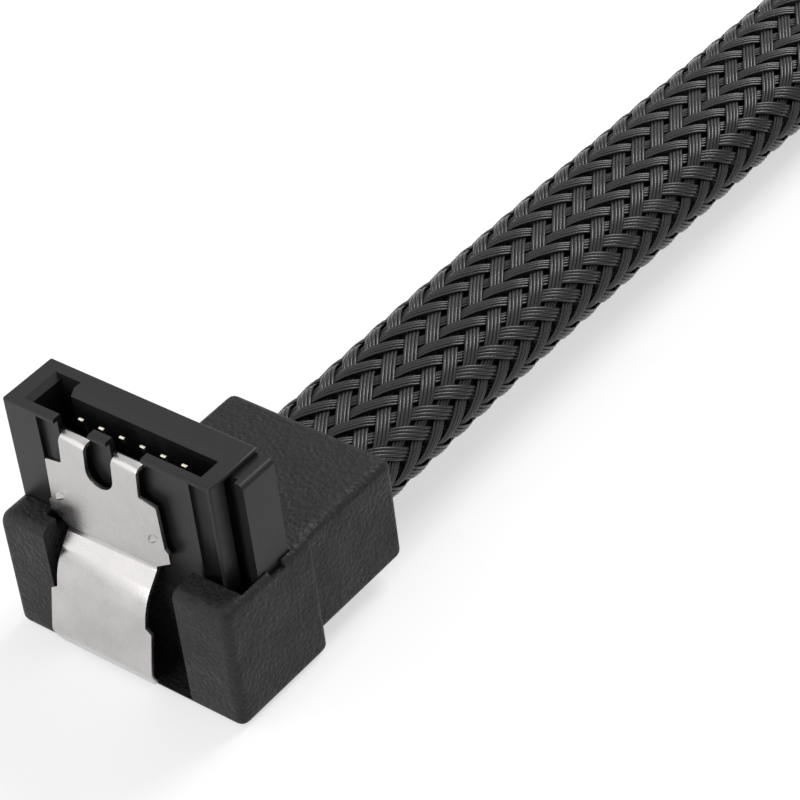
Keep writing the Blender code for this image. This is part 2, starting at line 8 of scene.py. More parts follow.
import logging
import math
from dataclasses import dataclass, field
from enum import Enum

import bmesh
import bpy
from mathutils import Matrix, Vector


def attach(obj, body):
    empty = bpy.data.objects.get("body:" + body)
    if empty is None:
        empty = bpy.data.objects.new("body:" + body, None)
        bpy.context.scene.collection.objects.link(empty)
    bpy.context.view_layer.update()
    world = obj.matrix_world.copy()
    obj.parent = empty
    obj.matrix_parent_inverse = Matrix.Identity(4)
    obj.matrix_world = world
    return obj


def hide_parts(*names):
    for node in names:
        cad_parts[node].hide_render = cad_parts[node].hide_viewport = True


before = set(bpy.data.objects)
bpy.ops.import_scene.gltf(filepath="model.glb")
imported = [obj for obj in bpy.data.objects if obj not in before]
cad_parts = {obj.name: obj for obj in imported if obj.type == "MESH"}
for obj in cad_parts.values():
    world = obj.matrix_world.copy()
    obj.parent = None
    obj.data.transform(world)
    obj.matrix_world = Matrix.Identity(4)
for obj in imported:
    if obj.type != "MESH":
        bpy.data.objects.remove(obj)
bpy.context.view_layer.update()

LOG = logging.getLogger("data_cable")
NUDGE = 0.00001
MERGE = 0.000001
OVERCUT = 0.0001
FIT_GAP = 0.00006
BOX_EDGE_ANGLE = 1.2
FACING = 0.9
CONTACT_COUNT = 7
CONTACT_PITCH = 0.00127

Point = tuple[float, float, float]
PLUG_PLACE: Point = (-0.00045, -0.00441, 0.01325)
Flat = tuple[float, float]
Colour = tuple[float, float, float]


class Body(Enum):
    """The rigid bodies of the part that pieces ride on."""

    CABLE = "cable"
    LATCH = "latch"
    FAR_LATCH = "far_latch"


class Slot(Enum):
    """The record's material slots."""

    MOULDED = "moulded_body"
    INSERT = "insert_plastic"
    STEEL = "latch_steel"
    CONTACT = "contact_metal"
    BRAID = "sleeve_braid"


class Join(Enum):
    """How a second solid meets the first."""

    ADD = "UNION"
    CUT = "DIFFERENCE"


class Outlet(Enum):
    """How a moulded body lets the cord out."""

    ANGLED = "angled"
    STRAIGHT = "straight"


# Node trees

class TreeMaker:
    """A helper that adds nodes to a tree and links them."""

    def __init__(self, tree: bpy.types.NodeTree) -> None:
        """Start on a tree.

        Args:
            tree: the shader or geometry tree to add to.
        """
        self.tree = tree

    def add(self, kind: str, inputs: dict | None = None, **settings: object) -> bpy.types.Node:
        """Add a node.

        Args:
            kind: the node's type name.
            inputs: socket names or numbers, each with a value or another node's socket.
            settings: attributes of the node itself.

        Returns:
            The new node.
        """
        node = self.tree.nodes.new(kind)
        for name, value in settings.items():
            setattr(node, name, value)
        for key, value in (inputs or {}).items():
            self.feed(node.inputs[key], value)
        return node

    def feed(self, socket: bpy.types.NodeSocket, value: object) -> None:
        """Link a socket to another, or set its value.

        Args:
            socket: the input to feed.
            value: another node's socket, or a plain value.
        """
        if isinstance(value, bpy.types.NodeSocket):
            self.tree.links.new(value, socket)
        else:
            socket.default_value = value

    def math(self, operation: str, *values: object) -> bpy.types.NodeSocket:
        """Return the result of a Math node on one, two or three values."""
        return self.add("ShaderNodeMath", dict(enumerate(values)), operation=operation).outputs[0]

    def vector(self, operation: str, first: object, second: object) -> bpy.types.NodeSocket:
        """Return the result of a Vector Math node on two vectors."""
        return self.add("ShaderNodeVectorMath", {0: first, 1: second}, operation=operation).outputs[0]

    def scaled(self, vector: object, factor: object) -> bpy.types.NodeSocket:
        """Return a vector times a number."""
        inputs = {0: vector, "Scale": factor}
        return self.add("ShaderNodeVectorMath", inputs, operation="SCALE").outputs[0]

    def split(self, vector: object) -> list[bpy.types.NodeSocket]:
        """Return a vector's three components."""
        return list(self.add("ShaderNodeSeparateXYZ", {0: vector}).outputs)


def new_group(name: str, kind: str, ins: dict[str, str], outs: dict[str, str]) -> bpy.types.NodeTree:
    """Return a new node group with its named inputs and outputs.

    Args:
        name: the group's name.
        kind: the tree's type.
        ins: input names, each with its socket type's short name.
        outs: output names, likewise.

    Returns:
        The empty group.
    """
    tree = bpy.data.node_groups.new(name, kind)
    for names, way in ((ins, "INPUT"), (outs, "OUTPUT")):
        for label, socket in names.items():
            tree.interface.new_socket(label, in_out=way, socket_type="NodeSocket" + socket)
    return tree


def grain_group() -> bpy.types.NodeTree:
    """Return the shader group for a fine moulded grain, made once.

    Returns:
        A tree that turns a size and a spread into a height, a gloss and a shade.
    """
    found = bpy.data.node_groups.get("fine_grain")
    if found:
        return found
    outs = {"Height": "Float", "Gloss": "Float", "Shade": "Float"}
    tree = new_group("fine_grain", "ShaderNodeTree", {"Size": "Float", "Spread": "Float"}, outs)
    cell_scale, drift_scale, dip_depth = 0.7, 0.12, 0.6
    make = TreeMaker(tree)
    given = make.add("NodeGroupInput").outputs
    place = make.add("ShaderNodeTexCoord").outputs["Object"]
    scale = make.math("DIVIDE", 1.0, given["Size"])
    fine = make.add(
        "ShaderNodeTexNoise", {"Vector": place, "Scale": scale, "Detail": 2.0, "Roughness": 0.6}
    )
    cells = make.add(
        "ShaderNodeTexVoronoi", {"Vector": place, "Scale": make.math("MULTIPLY", scale, cell_scale)}
    )
    broad = make.add(
        "ShaderNodeTexNoise",
        {"Vector": place, "Scale": make.math("MULTIPLY", scale, drift_scale), "Detail": 3.0},
    )
    dips = make.math("MULTIPLY", cells.outputs["Distance"], dip_depth)
    drift = make.math("SUBTRACT", broad.outputs["Fac"], 0.5)
    speck = make.math("SUBTRACT", fine.outputs["Fac"], 0.5)
    result = make.add("NodeGroupOutput").inputs
    make.feed(result["Height"], make.math("ADD", fine.outputs["Fac"], dips))
    make.feed(result["Gloss"], make.math("ADD", speck, drift))
    make.feed(result["Shade"], make.math("MULTIPLY_ADD", drift, given["Spread"], 1.0))
    return tree


def drawn_group() -> bpy.types.NodeTree:
    """Return the shader group for fine lines drawn along one direction, made once.

    Returns:
        A tree that turns a size and a stretch into a height and a cloud of wear.
    """
    found = bpy.data.node_groups.get("drawn_lines")
    if found:
        return found
    ins = {"Size": "Float", "Stretch": "Vector", "Wear Size": "Float"}
    tree = new_group("drawn_lines", "ShaderNodeTree", ins, {"Height": "Float", "Wear": "Float"})
    make = TreeMaker(tree)
    given = make.add("NodeGroupInput").outputs
    place = make.add("ShaderNodeTexCoord").outputs["Object"]
    drawn = make.vector("MULTIPLY", place, given["Stretch"])
    lines = make.add(
        "ShaderNodeTexNoise",
        {"Vector": drawn, "Scale": make.math("DIVIDE", 1.0, given["Size"]), "Detail": 3.0},
    )
    wear = make.add(
        "ShaderNodeTexNoise",
        {"Vector": place, "Scale": make.math("DIVIDE", 1.0, given["Wear Size"]), "Detail": 4.0},
    )
    result = make.add("NodeGroupOutput").inputs
    make.feed(result["Height"], lines.outputs["Fac"])
    make.feed(result["Wear"], wear.outputs["Fac"])
    return tree


# Finishes

@dataclass(frozen=True, kw_only=True)
class Finish:
    """A finish whose material is made once, by its own paint method."""

    name: str
    colour: Colour
    roughness: float
    depth: float = 0.0

    def material(self) -> bpy.types.Material:
        """Return the material, made when it is first asked for.

        Returns:
            The finish's own material.
        """
        found = bpy.data.materials.get(self.name)
        if found:
            return found
        material = bpy.data.materials.new(self.name)
        material.use_nodes = True
        self.paint(TreeMaker(material.node_tree), material.node_tree.nodes["Principled BSDF"])
        return material

    def paint(self, make: TreeMaker, shader: bpy.types.Node) -> None:
        """Set the shader up.

        Args:
            make: the maker on the material's tree.
            shader: the material's Principled BSDF.
        """
        raise NotImplementedError

    def tint(self, make: TreeMaker, shader: bpy.types.Node, level: bpy.types.NodeSocket) -> None:
        """Feed the base colour times a level that changes over the surface.

        Args:
            make: the maker on the material's tree.
            shader: the material's Principled BSDF.
            level: the socket that gives the level, about 1.
        """
        colour = make.add("ShaderNodeRGB")
        colour.outputs[0].default_value = (*self.colour, 1)
        make.feed(shader.inputs["Base Color"], make.scaled(colour.outputs[0], level))

    def bump(self, make: TreeMaker, shader: bpy.types.Node, height: bpy.types.NodeSocket) -> None:
        """Feed the normal from a height of the finish's depth.

        Args:
            make: the maker on the material's tree.
            shader: the material's Principled BSDF.
            height: the socket that gives the height, from 0 to 1.
        """
        node = make.add("ShaderNodeBump", {"Height": height, "Distance": self.depth})
        make.feed(shader.inputs["Normal"], node.outputs["Normal"])


@dataclass(frozen=True, kw_only=True)
class GrainedPlastic(Finish):
    """A black plastic with a fine grain in its surface, or in its shade and gloss alone."""

    size: float
    sheen: float
    spread: float
    gloss_spread: float

    def paint(self, make: TreeMaker, shader: bpy.types.Node) -> None:
        """Set up the shade's drift, the gloss and the grain.

        Args:
            make: the maker on the material's tree.
            shader: the material's Principled BSDF.
        """
        grain = make.add("ShaderNodeGroup", node_tree=grain_group())
        grain.inputs["Size"].default_value = self.size
        grain.inputs["Spread"].default_value = self.spread
        self.tint(make, shader, grain.outputs["Shade"])
        gloss = make.math("MULTIPLY_ADD", grain.outputs["Gloss"], self.gloss_spread, self.roughness)
        make.feed(shader.inputs["Roughness"], gloss)
        shader.inputs["Specular IOR Level"].default_value = self.sheen
        if self.depth:
            self.bump(make, shader, grain.outputs["Height"])


@dataclass(frozen=True, kw_only=True)
class SheetMetal(Finish):
    """A rolled metal strip with fine lines along its length."""

    size: float
    stretch: Point
    wear_size: float = 0.0012
    wear: float = 0.24
    line_share: float = 0.6
    gloss_spread: float = 0.3

    def paint(self, make: TreeMaker, shader: bpy.types.Node) -> None:
        """Set up the lines, the wear and the gloss.

        Args:
            make: the maker on the material's tree.
            shader: the material's Principled BSDF.
        """
        drawn = make.add("ShaderNodeGroup", node_tree=drawn_group())
        drawn.inputs["Size"].default_value = self.size
        drawn.inputs["Stretch"].default_value = self.stretch
        drawn.inputs["Wear Size"].default_value = self.wear_size
        shader.inputs["Metallic"].default_value = 1.0
        cloud = make.math("SUBTRACT", drawn.outputs["Wear"], 0.5)
        lines = make.math("SUBTRACT", drawn.outputs["Height"], 0.5)
        both = make.math("MULTIPLY_ADD", lines, self.line_share, cloud)
        self.tint(make, shader, make.math("MULTIPLY_ADD", both, self.wear, 1.0))
        gloss = make.math("MULTIPLY_ADD", cloud, self.gloss_spread, self.roughness)
        make.feed(shader.inputs["Roughness"], gloss)
        self.bump(make, shader, drawn.outputs["Height"])


@dataclass(frozen=True, kw_only=True)
class Monofilament(GrainedPlastic):
    """Drawn black plastic thread, smooth, its shade and gloss drifting along it."""

    size: float = 0.0007
    spread: float = 0.6
    gloss_spread: float = 0.15


MOULDED_BODY = GrainedPlastic(
    name="grained_moulding",
    colour=(0.0185, 0.018, 0.0183),
    roughness=0.55,
    size=0.0002,
    depth=0.00007,
    sheen=0.24,
    spread=0.8,
    gloss_spread=0.5,
)
INSERT_PLASTIC = GrainedPlastic(
    name="smooth_insert",
    colour=(0.0125, 0.012, 0.0123),
    roughness=0.36,
    size=0.0004,
    depth=0.000004,
    sheen=0.3,
    spread=0.3,
    gloss_spread=0.12,
)
LATCH_STEEL = SheetMetal(
    name="rolled_steel",
    colour=(0.53, 0.515, 0.508),
    roughness=0.27,
    size=0.00009,
    depth=0.000002,
    stretch=(1.0, 1.0, 0.06),
)
CONTACT_METAL = SheetMetal(
    name="plated_strip",
    colour=(0.80, 0.75, 0.64),
    roughness=0.24,
    size=0.00005,
    depth=0.0000005,
    stretch=(1.0, 1.0, 0.1),
)
THREAD = Monofilament(
    name="sleeve_thread", colour=(0.018, 0.018, 0.0182), roughness=0.28, sheen=0.45
)
CORE = Monofilament(name="sleeve_core", colour=(0.004, 0.004, 0.0045), roughness=0.6, sheen=0.1)


# Mesh helpers

def object_from(bm: bmesh.types.BMesh, name: str) -> bpy.types.Object:
    """Turn a bmesh into an object in the scene, and free the bmesh.

    Args:
        bm: the shape.
        name: the new object's name.

    Returns:
        The new object.
    """
    mesh = bpy.data.meshes.new(name)
    bm.to_mesh(mesh)
    bm.free()
    return object_of(mesh)


def object_of(mesh: bpy.types.Mesh) -> bpy.types.Object:
    """Return a new object in the scene, named as the mesh it holds."""
    item = bpy.data.objects.new(mesh.name, mesh)
    bpy.context.scene.collection.objects.link(item)
    return item


def bake(item: bpy.types.Object, name: str) -> bpy.types.Mesh:
    """Evaluate an object's modifiers to a plain mesh, and delete the object.

    Args:
        item: the object.
        name: the new mesh's name.

    Returns:
        The mesh.
    """
    graph = bpy.context.evaluated_depsgraph_get()
    mesh = bpy.data.meshes.new_from_object(item.evaluated_get(graph), depsgraph=graph)
    bpy.data.objects.remove(item)
    mesh.name = name
    return mesh


def baked(item: bpy.types.Object, name: str) -> bmesh.types.BMesh:
    """Evaluate an object's modifiers to a bmesh, and delete the object.

    Args:
        item: the object.
        name: a name for the passing mesh.

    Returns:
        The bmesh.
    """
    mesh = bake(item, name)
    bm = bmesh.new()
    bm.from_mesh(mesh)
    bpy.data.meshes.remove(mesh)
    return bm


def soften(item: bpy.types.Object, width: float, crease: float, miter: str = "MITER_SHARP") -> None:
    """Bevel an object's hard edges with a modifier.

    Args:
        item: the object.
        width: the bevel's size.
        crease: the angle in degrees past which an edge is hard.
        miter: how the bevel turns an outer corner.
    """
    bevel = item.modifiers.new("soften", "BEVEL")
    bevel.width = width
    bevel.segments = 2
    bevel.limit_method = "ANGLE"
    bevel.angle_limit = math.radians(crease)
    bevel.miter_outer = miter


def report(piece: bpy.types.Object) -> None:
    """Log a finished piece's name and its number of faces."""
    LOG.info("%s: %d faces", piece.name, len(piece.data.polygons))


def box(low: Point, high: Point) -> bmesh.types.BMesh:
    """Make a box.

    Args:
        low: its corner with the lowest coordinates.
        high: the opposite corner.

    Returns:
        A bmesh of six faces.
    """
    bm = bmesh.new()
    bmesh.ops.create_cube(bm, size=1.0)
    bmesh.ops.scale(bm, vec=Vector(high) - Vector(low), verts=bm.verts)
    bmesh.ops.translate(bm, vec=(Vector(high) + Vector(low)) / 2, verts=bm.verts)
    return bm


def flare(
    bm: bmesh.types.BMesh,
    top: float,
    left: float = 0.0,
    right: float = 0.0,
    front: float = 0.0,
    back: float = 0.0,
) -> bmesh.types.BMesh:
    """Widen the face of a box that lies at z = top, for a lead-in chamfer.

    Args:
        bm: the box.
        top: the height of the face.
        left: how far the face's left side moves out.
        right: the same at its right.
        front: the same at its front.
        back: the same at its back.

    Returns:
        The same bmesh.
    """
    upper = [v for v in bm.verts if abs(v.co.z - top) < MERGE]
    middle = sum((v.co for v in upper), Vector()) / len(upper)
    for vert in upper:
        vert.co.x += right if vert.co.x > middle.x else -left
        vert.co.y += back if vert.co.y > middle.y else -front
    return bm


def rounded(bm: bmesh.types.BMesh, radius: float, segments: int, *keep: Point) -> bmesh.types.BMesh:
    """Round the edges of a box.

    Args:
        bm: the box.
        radius: the rounding's size.
        segments: the number of faces across it.
        keep: directions; where any is given, only edges whose two faces both point to one of
            them are rounded.

    Returns:
        The same bmesh.
    """
    def chosen(edge: bmesh.types.BMEdge) -> bool:
        """Tell whether an edge is rounded.

        Args:
            edge: one of the box's edges.

        Returns:
            True where it is hard and, where directions are given, between two of them.
        """
        if len(edge.link_faces) != 2 or edge.calc_face_angle(0) < BOX_EDGE_ANGLE:
            return False
        return not keep or all(
            any(face.normal.dot(Vector(way)) > FACING for way in keep) for face in edge.link_faces
        )

    bm.normal_update()
    edges = [edge for edge in bm.edges if chosen(edge)]
    bmesh.ops.bevel(bm, geom=edges, offset=radius, segments=segments, profile=0.5, affect="EDGES")
    return bm


@dataclass
class Carving:
    """A solid that others are joined to and cut from, and whose last edges are softened."""

    base: bmesh.types.BMesh
    softness: float = 0.00006
    crease: float = 32.0
    flatness: float = 0.2
    steps: list[tuple[bmesh.types.BMesh, Join]] = field(default_factory=list)

    def then(self, tool: bmesh.types.BMesh, way: Join = Join.CUT) -> None:
        """Queue another solid to cut away or to add."""
        self.steps.append((tool, way))

    def carve(self) -> bmesh.types.BMesh:
        """Join and cut every queued solid, then soften the edges.

        Returns:
            The result, in the plug's own datum.
        """
        item = object_from(self.base, "carving")
        tools = []
        for tool, way in self.steps:
            tools.append(object_from(tool, "carving_tool"))
            step = item.modifiers.new("step", "BOOLEAN")
            step.operation = way.value
            step.object = tools[-1]
            step.solver = "EXACT"
        bm = baked(item, "carved")
        for tool in tools:
            bpy.data.objects.remove(tool)
        bmesh.ops.remove_doubles(bm, verts=bm.verts, dist=MERGE / 2)
        flatness = math.radians(self.flatness)
        bmesh.ops.dissolve_limit(bm, angle_limit=flatness, verts=bm.verts, edges=bm.edges)
        carved = object_from(bm, "carved")
        soften(carved, self.softness, self.crease, "MITER_ARC")
        return baked(carved, "softened")


@dataclass(frozen=True)
class Seat:
    """Where a piece goes: its plug's place, its name's start and the body it rides on."""

    place: Matrix
    prefix: str
    body: Body

    def finish(
        self, bm: bmesh.types.BMesh, name: str, node: str, finish: Finish, slot: Slot, crease: float = 32.0
    ) -> bpy.types.Object:
        """Place a solid in the part's frame, shade it, dress it and let it ride on its body.

        Args:
            bm: the solid in its plug's datum.
            name: the piece's name, without the start.
            node: the frame's node that it stands for, without the start.
            finish: the finish it is dressed in.
            slot: the record's slot for that finish; not used.
            crease: the angle in degrees past which an edge stays hard.

        Returns:
            The finished piece.
        """
        bmesh.ops.transform(bm, matrix=self.place, verts=bm.verts)
        item = object_from(bm, self.prefix + name)
        item.data.shade_smooth()
        item.data.set_sharp_from_angle(angle=math.radians(crease))
        shading = item.modifiers.new("even_shading", "WEIGHTED_NORMAL")
        shading.keep_sharp = True
        piece = object_of(bake(item, self.prefix + name))
        piece.name = self.prefix + name
        piece.data.materials.clear()
        piece.data.materials.append(finish.material())
        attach(piece, self.body.value)
        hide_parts(self.prefix + node)
        report(piece)
        return piece


def rounded_path(corners: list[tuple[float, float, float]], steps: int) -> list[Vector]:
    """Return the points of a polyline whose inner corners are turned into arcs.

    Args:
        corners: first and second coordinate and radius of each corner; the radius of the
            first and the last is not used.
        steps: the number of pieces in each arc.

    Returns:
        Two-dimensional points.
    """
    points = [Vector(corners[0][:2])]
    for before, here, after in zip(corners, corners[1:], corners[2:]):
        corner = Vector(here[:2])
        back = (Vector(before[:2]) - corner).normalized()
        ahead = (Vector(after[:2]) - corner).normalized()
        half = back.angle(ahead) / 2
        reach = here[2] / math.tan(half)
        centre = corner + (back + ahead).normalized() * (here[2] / math.sin(half))
        start = corner + back * reach - centre
        sweep = (corner + ahead * reach - centre).angle_signed(start)
        for step in range(steps + 1):
            turned = start.copy()
            turned.rotate(Matrix.Rotation(sweep * step / steps, 2))
            points.append(centre + turned)
    points.append(Vector(corners[-1][:2]))
    return points


def path_lengths(points: list[Vector]) -> list[float]:
    """Measure a polyline.

    Args:
        points: its points in order.

    Returns:
        The distance along it to each point.
    """
    lengths = [0.0]
    for one, two in zip(points, points[1:]):
        lengths.append(lengths[-1] + (two - one).length)
    return lengths


def point_along(points: list[Vector], lengths: list[float], distance: float) -> Vector:
    """Find a place on a polyline.

    Args:
        points: its points in order.
        lengths: the distance along it to each point.
        distance: the distance from its start to the place.

    Returns:
        The place.
    """
    for one, two, start, end in zip(points, points[1:], lengths, lengths[1:]):
        if distance <= end:
            return one.lerp(two, (distance - start) / (end - start))
    return points[-1].copy()


def thickened(bm: bmesh.types.BMesh, thickness: float, softness: float, name: str) -> bmesh.types.BMesh:
    """Give a sheet its thickness towards its back and soften its cut edges.

    Args:
        bm: the sheet, open.
        thickness: how thick the sheet is.
        softness: how far its edges are taken back.
        name: a name for the passing mesh.

    Returns:
        A closed solid.
    """
    cut_edge_crease = 50.0
    item = object_from(bm, name)
    sheet = item.modifiers.new("sheet", "SOLIDIFY")
    sheet.thickness = thickness
    sheet.offset = -1
    soften(item, softness, cut_edge_crease)
    return baked(item, name)


# Camera, floor and light

@dataclass(frozen=True)
class PhotoCamera:
    """The photograph's camera, as fitted to the plug's edges."""

    place: Point = (0.085898, -0.079377, 0.106293)
    azimuth: float = -42.184
    elevation: float = 39.243
    roll: float = -7.36
    focal_pixels: float = 3212.305
    frame_pixels: float = 800.0
    sensor: float = 36.0
    nearest: float = 0.005
    farthest: float = 20.0

    def build(self) -> None:
        """Make the camera and set it as the scene's own."""
        azimuth, elevation, roll = (math.radians(a) for a in (self.azimuth, self.elevation, self.roll))
        flat = math.cos(elevation)
        ahead = Vector((math.sin(azimuth) * flat, math.cos(azimuth) * flat, -math.sin(elevation)))
        level = ahead.cross(Vector((0, 0, 1))).normalized()
        upright = level.cross(ahead)
        right = level * math.cos(roll) + upright * math.sin(roll)
        up = upright * math.cos(roll) - level * math.sin(roll)
        data = bpy.data.cameras.new("camera")
        data.sensor_width = self.sensor
        data.lens = self.sensor * self.focal_pixels / self.frame_pixels
        data.clip_start = self.nearest
        data.clip_end = self.farthest
        camera = bpy.data.objects.new("camera", data)
        bpy.context.scene.collection.objects.link(camera)
        turn = Matrix((right, up, -ahead)).transposed().to_4x4()
        camera.matrix_world = Matrix.Translation(Vector(self.place)) @ turn
        bpy.context.scene.camera = camera


@dataclass(frozen=True)
class Softbox:
    """One soft lamp: its place, the side of its square and its power in watts."""

    name: str
    place: Point
    size: float
    power: float
    target: Point = (0.0, 0.01, 0.004)

    def build(self) -> None:
        """Make the lamp, turned to its target."""
        data = bpy.data.lights.new(self.name, "AREA")
        data.shape = "SQUARE"
        data.size = self.size
        data.energy = self.power
        lamp = bpy.data.objects.new(self.name, data)
        lamp.location = self.place
        lamp.rotation_mode = "QUATERNION"
        lamp.rotation_quaternion = (Vector(self.place) - Vector(self.target)).to_track_quat("Z", "Y")
        bpy.context.scene.collection.objects.link(lamp)


@dataclass(frozen=True)
class Studio:
    """A pale floor under soft lamps and a plain white surround."""

    floor_size: float = 3.0
    floor_thickness: float = 0.001
    floor_drop: float = 0.00002
    floor_colour: Colour = (0.5, 0.5, 0.5)
    floor_roughness: float = 0.9
    floor_sheen: float = 0.1
    glow: float = 0.6
    ambient: float = 0.33
    horizon: tuple[float, float, float, float] = (0.0, 0.42, 0.22, 0.9)
    softboxes: tuple[Softbox, ...] = (
        Softbox("softbox_left", (-0.26, -0.32, 0.27), 0.62, 0.9),
        Softbox("softbox_back", (0.03, 0.40, 0.36), 0.24, 1.6),
        Softbox("softbox_front", (0.05, -0.46, 0.16), 0.20, 0.85),
    )

    def build(self) -> None:
        """Make the floor, the surround and the lamps."""
        bpy.context.scene.view_settings.view_transform = "Standard"
        self._floor()
        self._surround()
        for softbox in self.softboxes:
            softbox.build()

    @staticmethod
    def _seen(make: TreeMaker) -> bpy.types.NodeSocket:
        """Return 1 where the surround is seen, directly, in a reflection or through glass."""
        path = make.add("ShaderNodeLightPath").outputs
        direct = make.math("MAXIMUM", path["Is Camera Ray"], path["Is Glossy Ray"])
        return make.math("MAXIMUM", direct, path["Is Transmission Ray"])

    def _floor(self) -> None:
        """Make the floor, which keeps the part's shadow."""
        half = self.floor_size / 2
        top = -self.floor_drop
        floor = object_from(box((-half, -half, top - self.floor_thickness), (half, half, top)), "floor")
        material = bpy.data.materials.new("floor")
        material.use_nodes = True
        make = TreeMaker(material.node_tree)
        shader = material.node_tree.nodes["Principled BSDF"]
        shader.inputs["Base Color"].default_value = (*self.floor_colour, 1)
        shader.inputs["Roughness"].default_value = self.floor_roughness
        shader.inputs["Specular IOR Level"].default_value = self.floor_sheen
        shader.inputs["Emission Color"].default_value = (1, 1, 1, 1)
        glow = make.math("MULTIPLY", self._seen(make), self.glow)
        make.feed(shader.inputs["Emission Strength"], glow)
        floor.data.materials.append(material)

    def _surround(self) -> None:
        """Make a pale room, darker along its horizon, that lights the part at a plain level."""
        world = bpy.data.worlds.new("surround")
        bpy.context.scene.world = world
        world.use_nodes = True
        make = TreeMaker(world.node_tree)
        shader = world.node_tree.nodes["Background"]
        height = make.split(make.add("ShaderNodeTexCoord").outputs["Generated"])[2]
        ramp = make.add("ShaderNodeMapRange", {"Value": height}, interpolation_type="SMOOTHSTEP")
        for name, value in zip(("From Min", "From Max", "To Min", "To Max"), self.horizon):
            ramp.inputs[name].default_value = value
        level = make.math("SUBTRACT", ramp.outputs[0], self.ambient)
        level = make.math("MULTIPLY_ADD", self._seen(make), level, self.ambient)
        shader.inputs["Color"].default_value = (1, 1, 1, 1)
        make.feed(shader.inputs["Strength"], level)


# Rigid pieces of a plug

@dataclass(frozen=True)
class InsertHousing:
    """The smooth insert: keyed slot, latch recess, end grooves and rear flange."""

    left: float = 0.0065
    right: float = 0.0063
    thickness: float = 0.00346
    reach: float = 0.0059
    seat: float = 0.0020
    edge: float = 0.00012
    slot_half: float = 0.00524
    front_wall: float = 0.00058
    opening: float = 0.0014
    depth: float = 0.0055
    key_length: float = 0.00129
    key_reach: float = 0.00217
    lead_in: float = 0.0003
    panel_depth: float = 0.00025
    left_land: float = 0.0021
    right_land: float = 0.0013
    notch_depth: float = 0.00034
    notch_height: float = 0.0028
    lip_window: float = 0.0008
    flange_standout: float = 0.00085
    flange_front: float = 0.00125
    flange_drop: float = 0.00035
    end_groove: float = 0.00055
    end_groove_depth: float = 0.0008
    rib: float = 0.00022
    side_groove_front: float = 0.00095
    side_groove_width: float = 0.00058
    side_groove_depth: float = 0.0007
    groove_top: float = 0.0002
    hook_room: float = 0.0003
    edge_steps: int = 3
    flange_steps: int = 4
    groove_steps: int = 40

    def build(self, seat: Seat) -> bpy.types.Object:
        """Return the insert as a finished piece.

        Args:
            seat: where it goes.

        Returns:
            The piece.
        """
        foot = -self.reach - self.seat
        base = box((-self.left, 0, foot), (self.right, self.thickness, 0))
        carving = Carving(rounded(base, self.edge, self.edge_steps))
        self._flange(carving, foot)
        self._front(carving, foot)
        self._slot(carving)
        self._slits(carving)
        solid = carving.carve()
        return seat.finish(solid, "insert", "insert_housing", INSERT_PLASTIC, Slot.INSERT)

    def _flange(self, carving: Carving, foot: float) -> None:
        """Add the rear flange at the right end and cut the two upright grooves.

        Args:
            carving: the insert so far.
            foot: the height of its lower end.
        """
        flange = box(
            (self.right - self.flange_standout, self.flange_front, foot + self.edge),
            (self.right + self.flange_standout, self.thickness - NUDGE, -self.flange_drop),
        )
        rounded(flange, self.lead_in, self.flange_steps, (1, 0, 0), (0, 0, 1))
        carving.then(flange, Join.ADD)
        groove = bmesh.new()
        bmesh.ops.create_cone(
            groove,
            cap_ends=True,
            segments=self.groove_steps,
            radius1=self.end_groove,
            radius2=self.end_groove,
            depth=-foot,
        )
        middle = Vector((self.right - self.right_land + self.end_groove, 0, foot / 2 - self.groove_top))
        bmesh.ops.translate(groove, vec=middle, verts=groove.verts)
        carving.then(groove)
        rib_left = self.right - self.rib
        deep = box(
            (rib_left - self.end_groove, -self.end_groove, foot - OVERCUT),
            (rib_left, self.end_groove_depth, -self.groove_top - self.end_groove),
        )
        carving.then(deep)
        side = box(
            (self.right - self.side_groove_depth, self.side_groove_front, foot - OVERCUT),
            (
                self.right + self.side_groove_depth / 2,
                self.side_groove_front + self.side_groove_width,
                -self.groove_top,
            ),
        )
        carving.then(side)

    def _front(self, carving: Carving, foot: float) -> None:
        """Recess the front panel and cut the notches that take the latch's hooks.

        Args:
            carving: the insert so far.
            foot: the height of its lower end.
        """
        latch = LatchClip()
        panel = box(
            (self.left_land - self.left, -self.panel_depth, foot - self.panel_depth),
            (self.right - self.right_land, self.panel_depth, -self.panel_depth),
        )
        carving.then(panel)
        depth = self.notch_depth
        wall = self.front_wall + NUDGE
        for side in (-1, 1):
            left, right = sorted(
                latch.centre + side * reach
                for reach in (latch.hook_inner - self.hook_room, latch.hook_outer + self.hook_room)
            )
            carving.then(box((left, -depth, -self.notch_height), (right, depth, depth)))
            carving.then(box((left, 0, -self.lip_window), (right, wall, self.lip_window)))

    def _slot(self, carving: Carving) -> None:
        """Cut the slot, its key leg and the lead-in chamfers at the mating face.

        Args:
            carving: the insert so far.
        """
        above = self.lead_in
        front = self.front_wall
        back = front + self.opening
        key_right = self.key_length - self.slot_half
        key_back = front + self.key_reach
        carving.then(box((-self.slot_half, front, -self.depth), (self.slot_half, back, above)))
        carving.then(box((-self.slot_half, front, -self.depth), (key_right, key_back, above)))
        lead = box((-self.slot_half, front, -self.lead_in), (self.slot_half, back, above))
        broad = 2 * self.lead_in
        carving.then(
            flare(lead, above, left=broad, right=self.lead_in, front=self.lead_in / 2, back=broad)
        )
        key_lead = box((-self.slot_half, front, -self.lead_in), (key_right, key_back, above))
        carving.then(flare(key_lead, above, left=broad))

    def _slits(self, carving: Carving) -> None:
        """Cut the slits in the slot's floor that hold the contacts' tails.

        Args:
            carving: the insert so far.
        """
        strip = ContactStrip()
        front = self.front_wall + strip.standoff
        half = strip.width / 2 + FIT_GAP
        for number in range(CONTACT_COUNT):
            middle = strip.across(number)
            slit = box(
                (middle - half, front - FIT_GAP, -self.depth - strip.tail),
                (middle + half, front + strip.thickness + FIT_GAP, FIT_GAP - self.depth),
            )
            carving.then(slit)


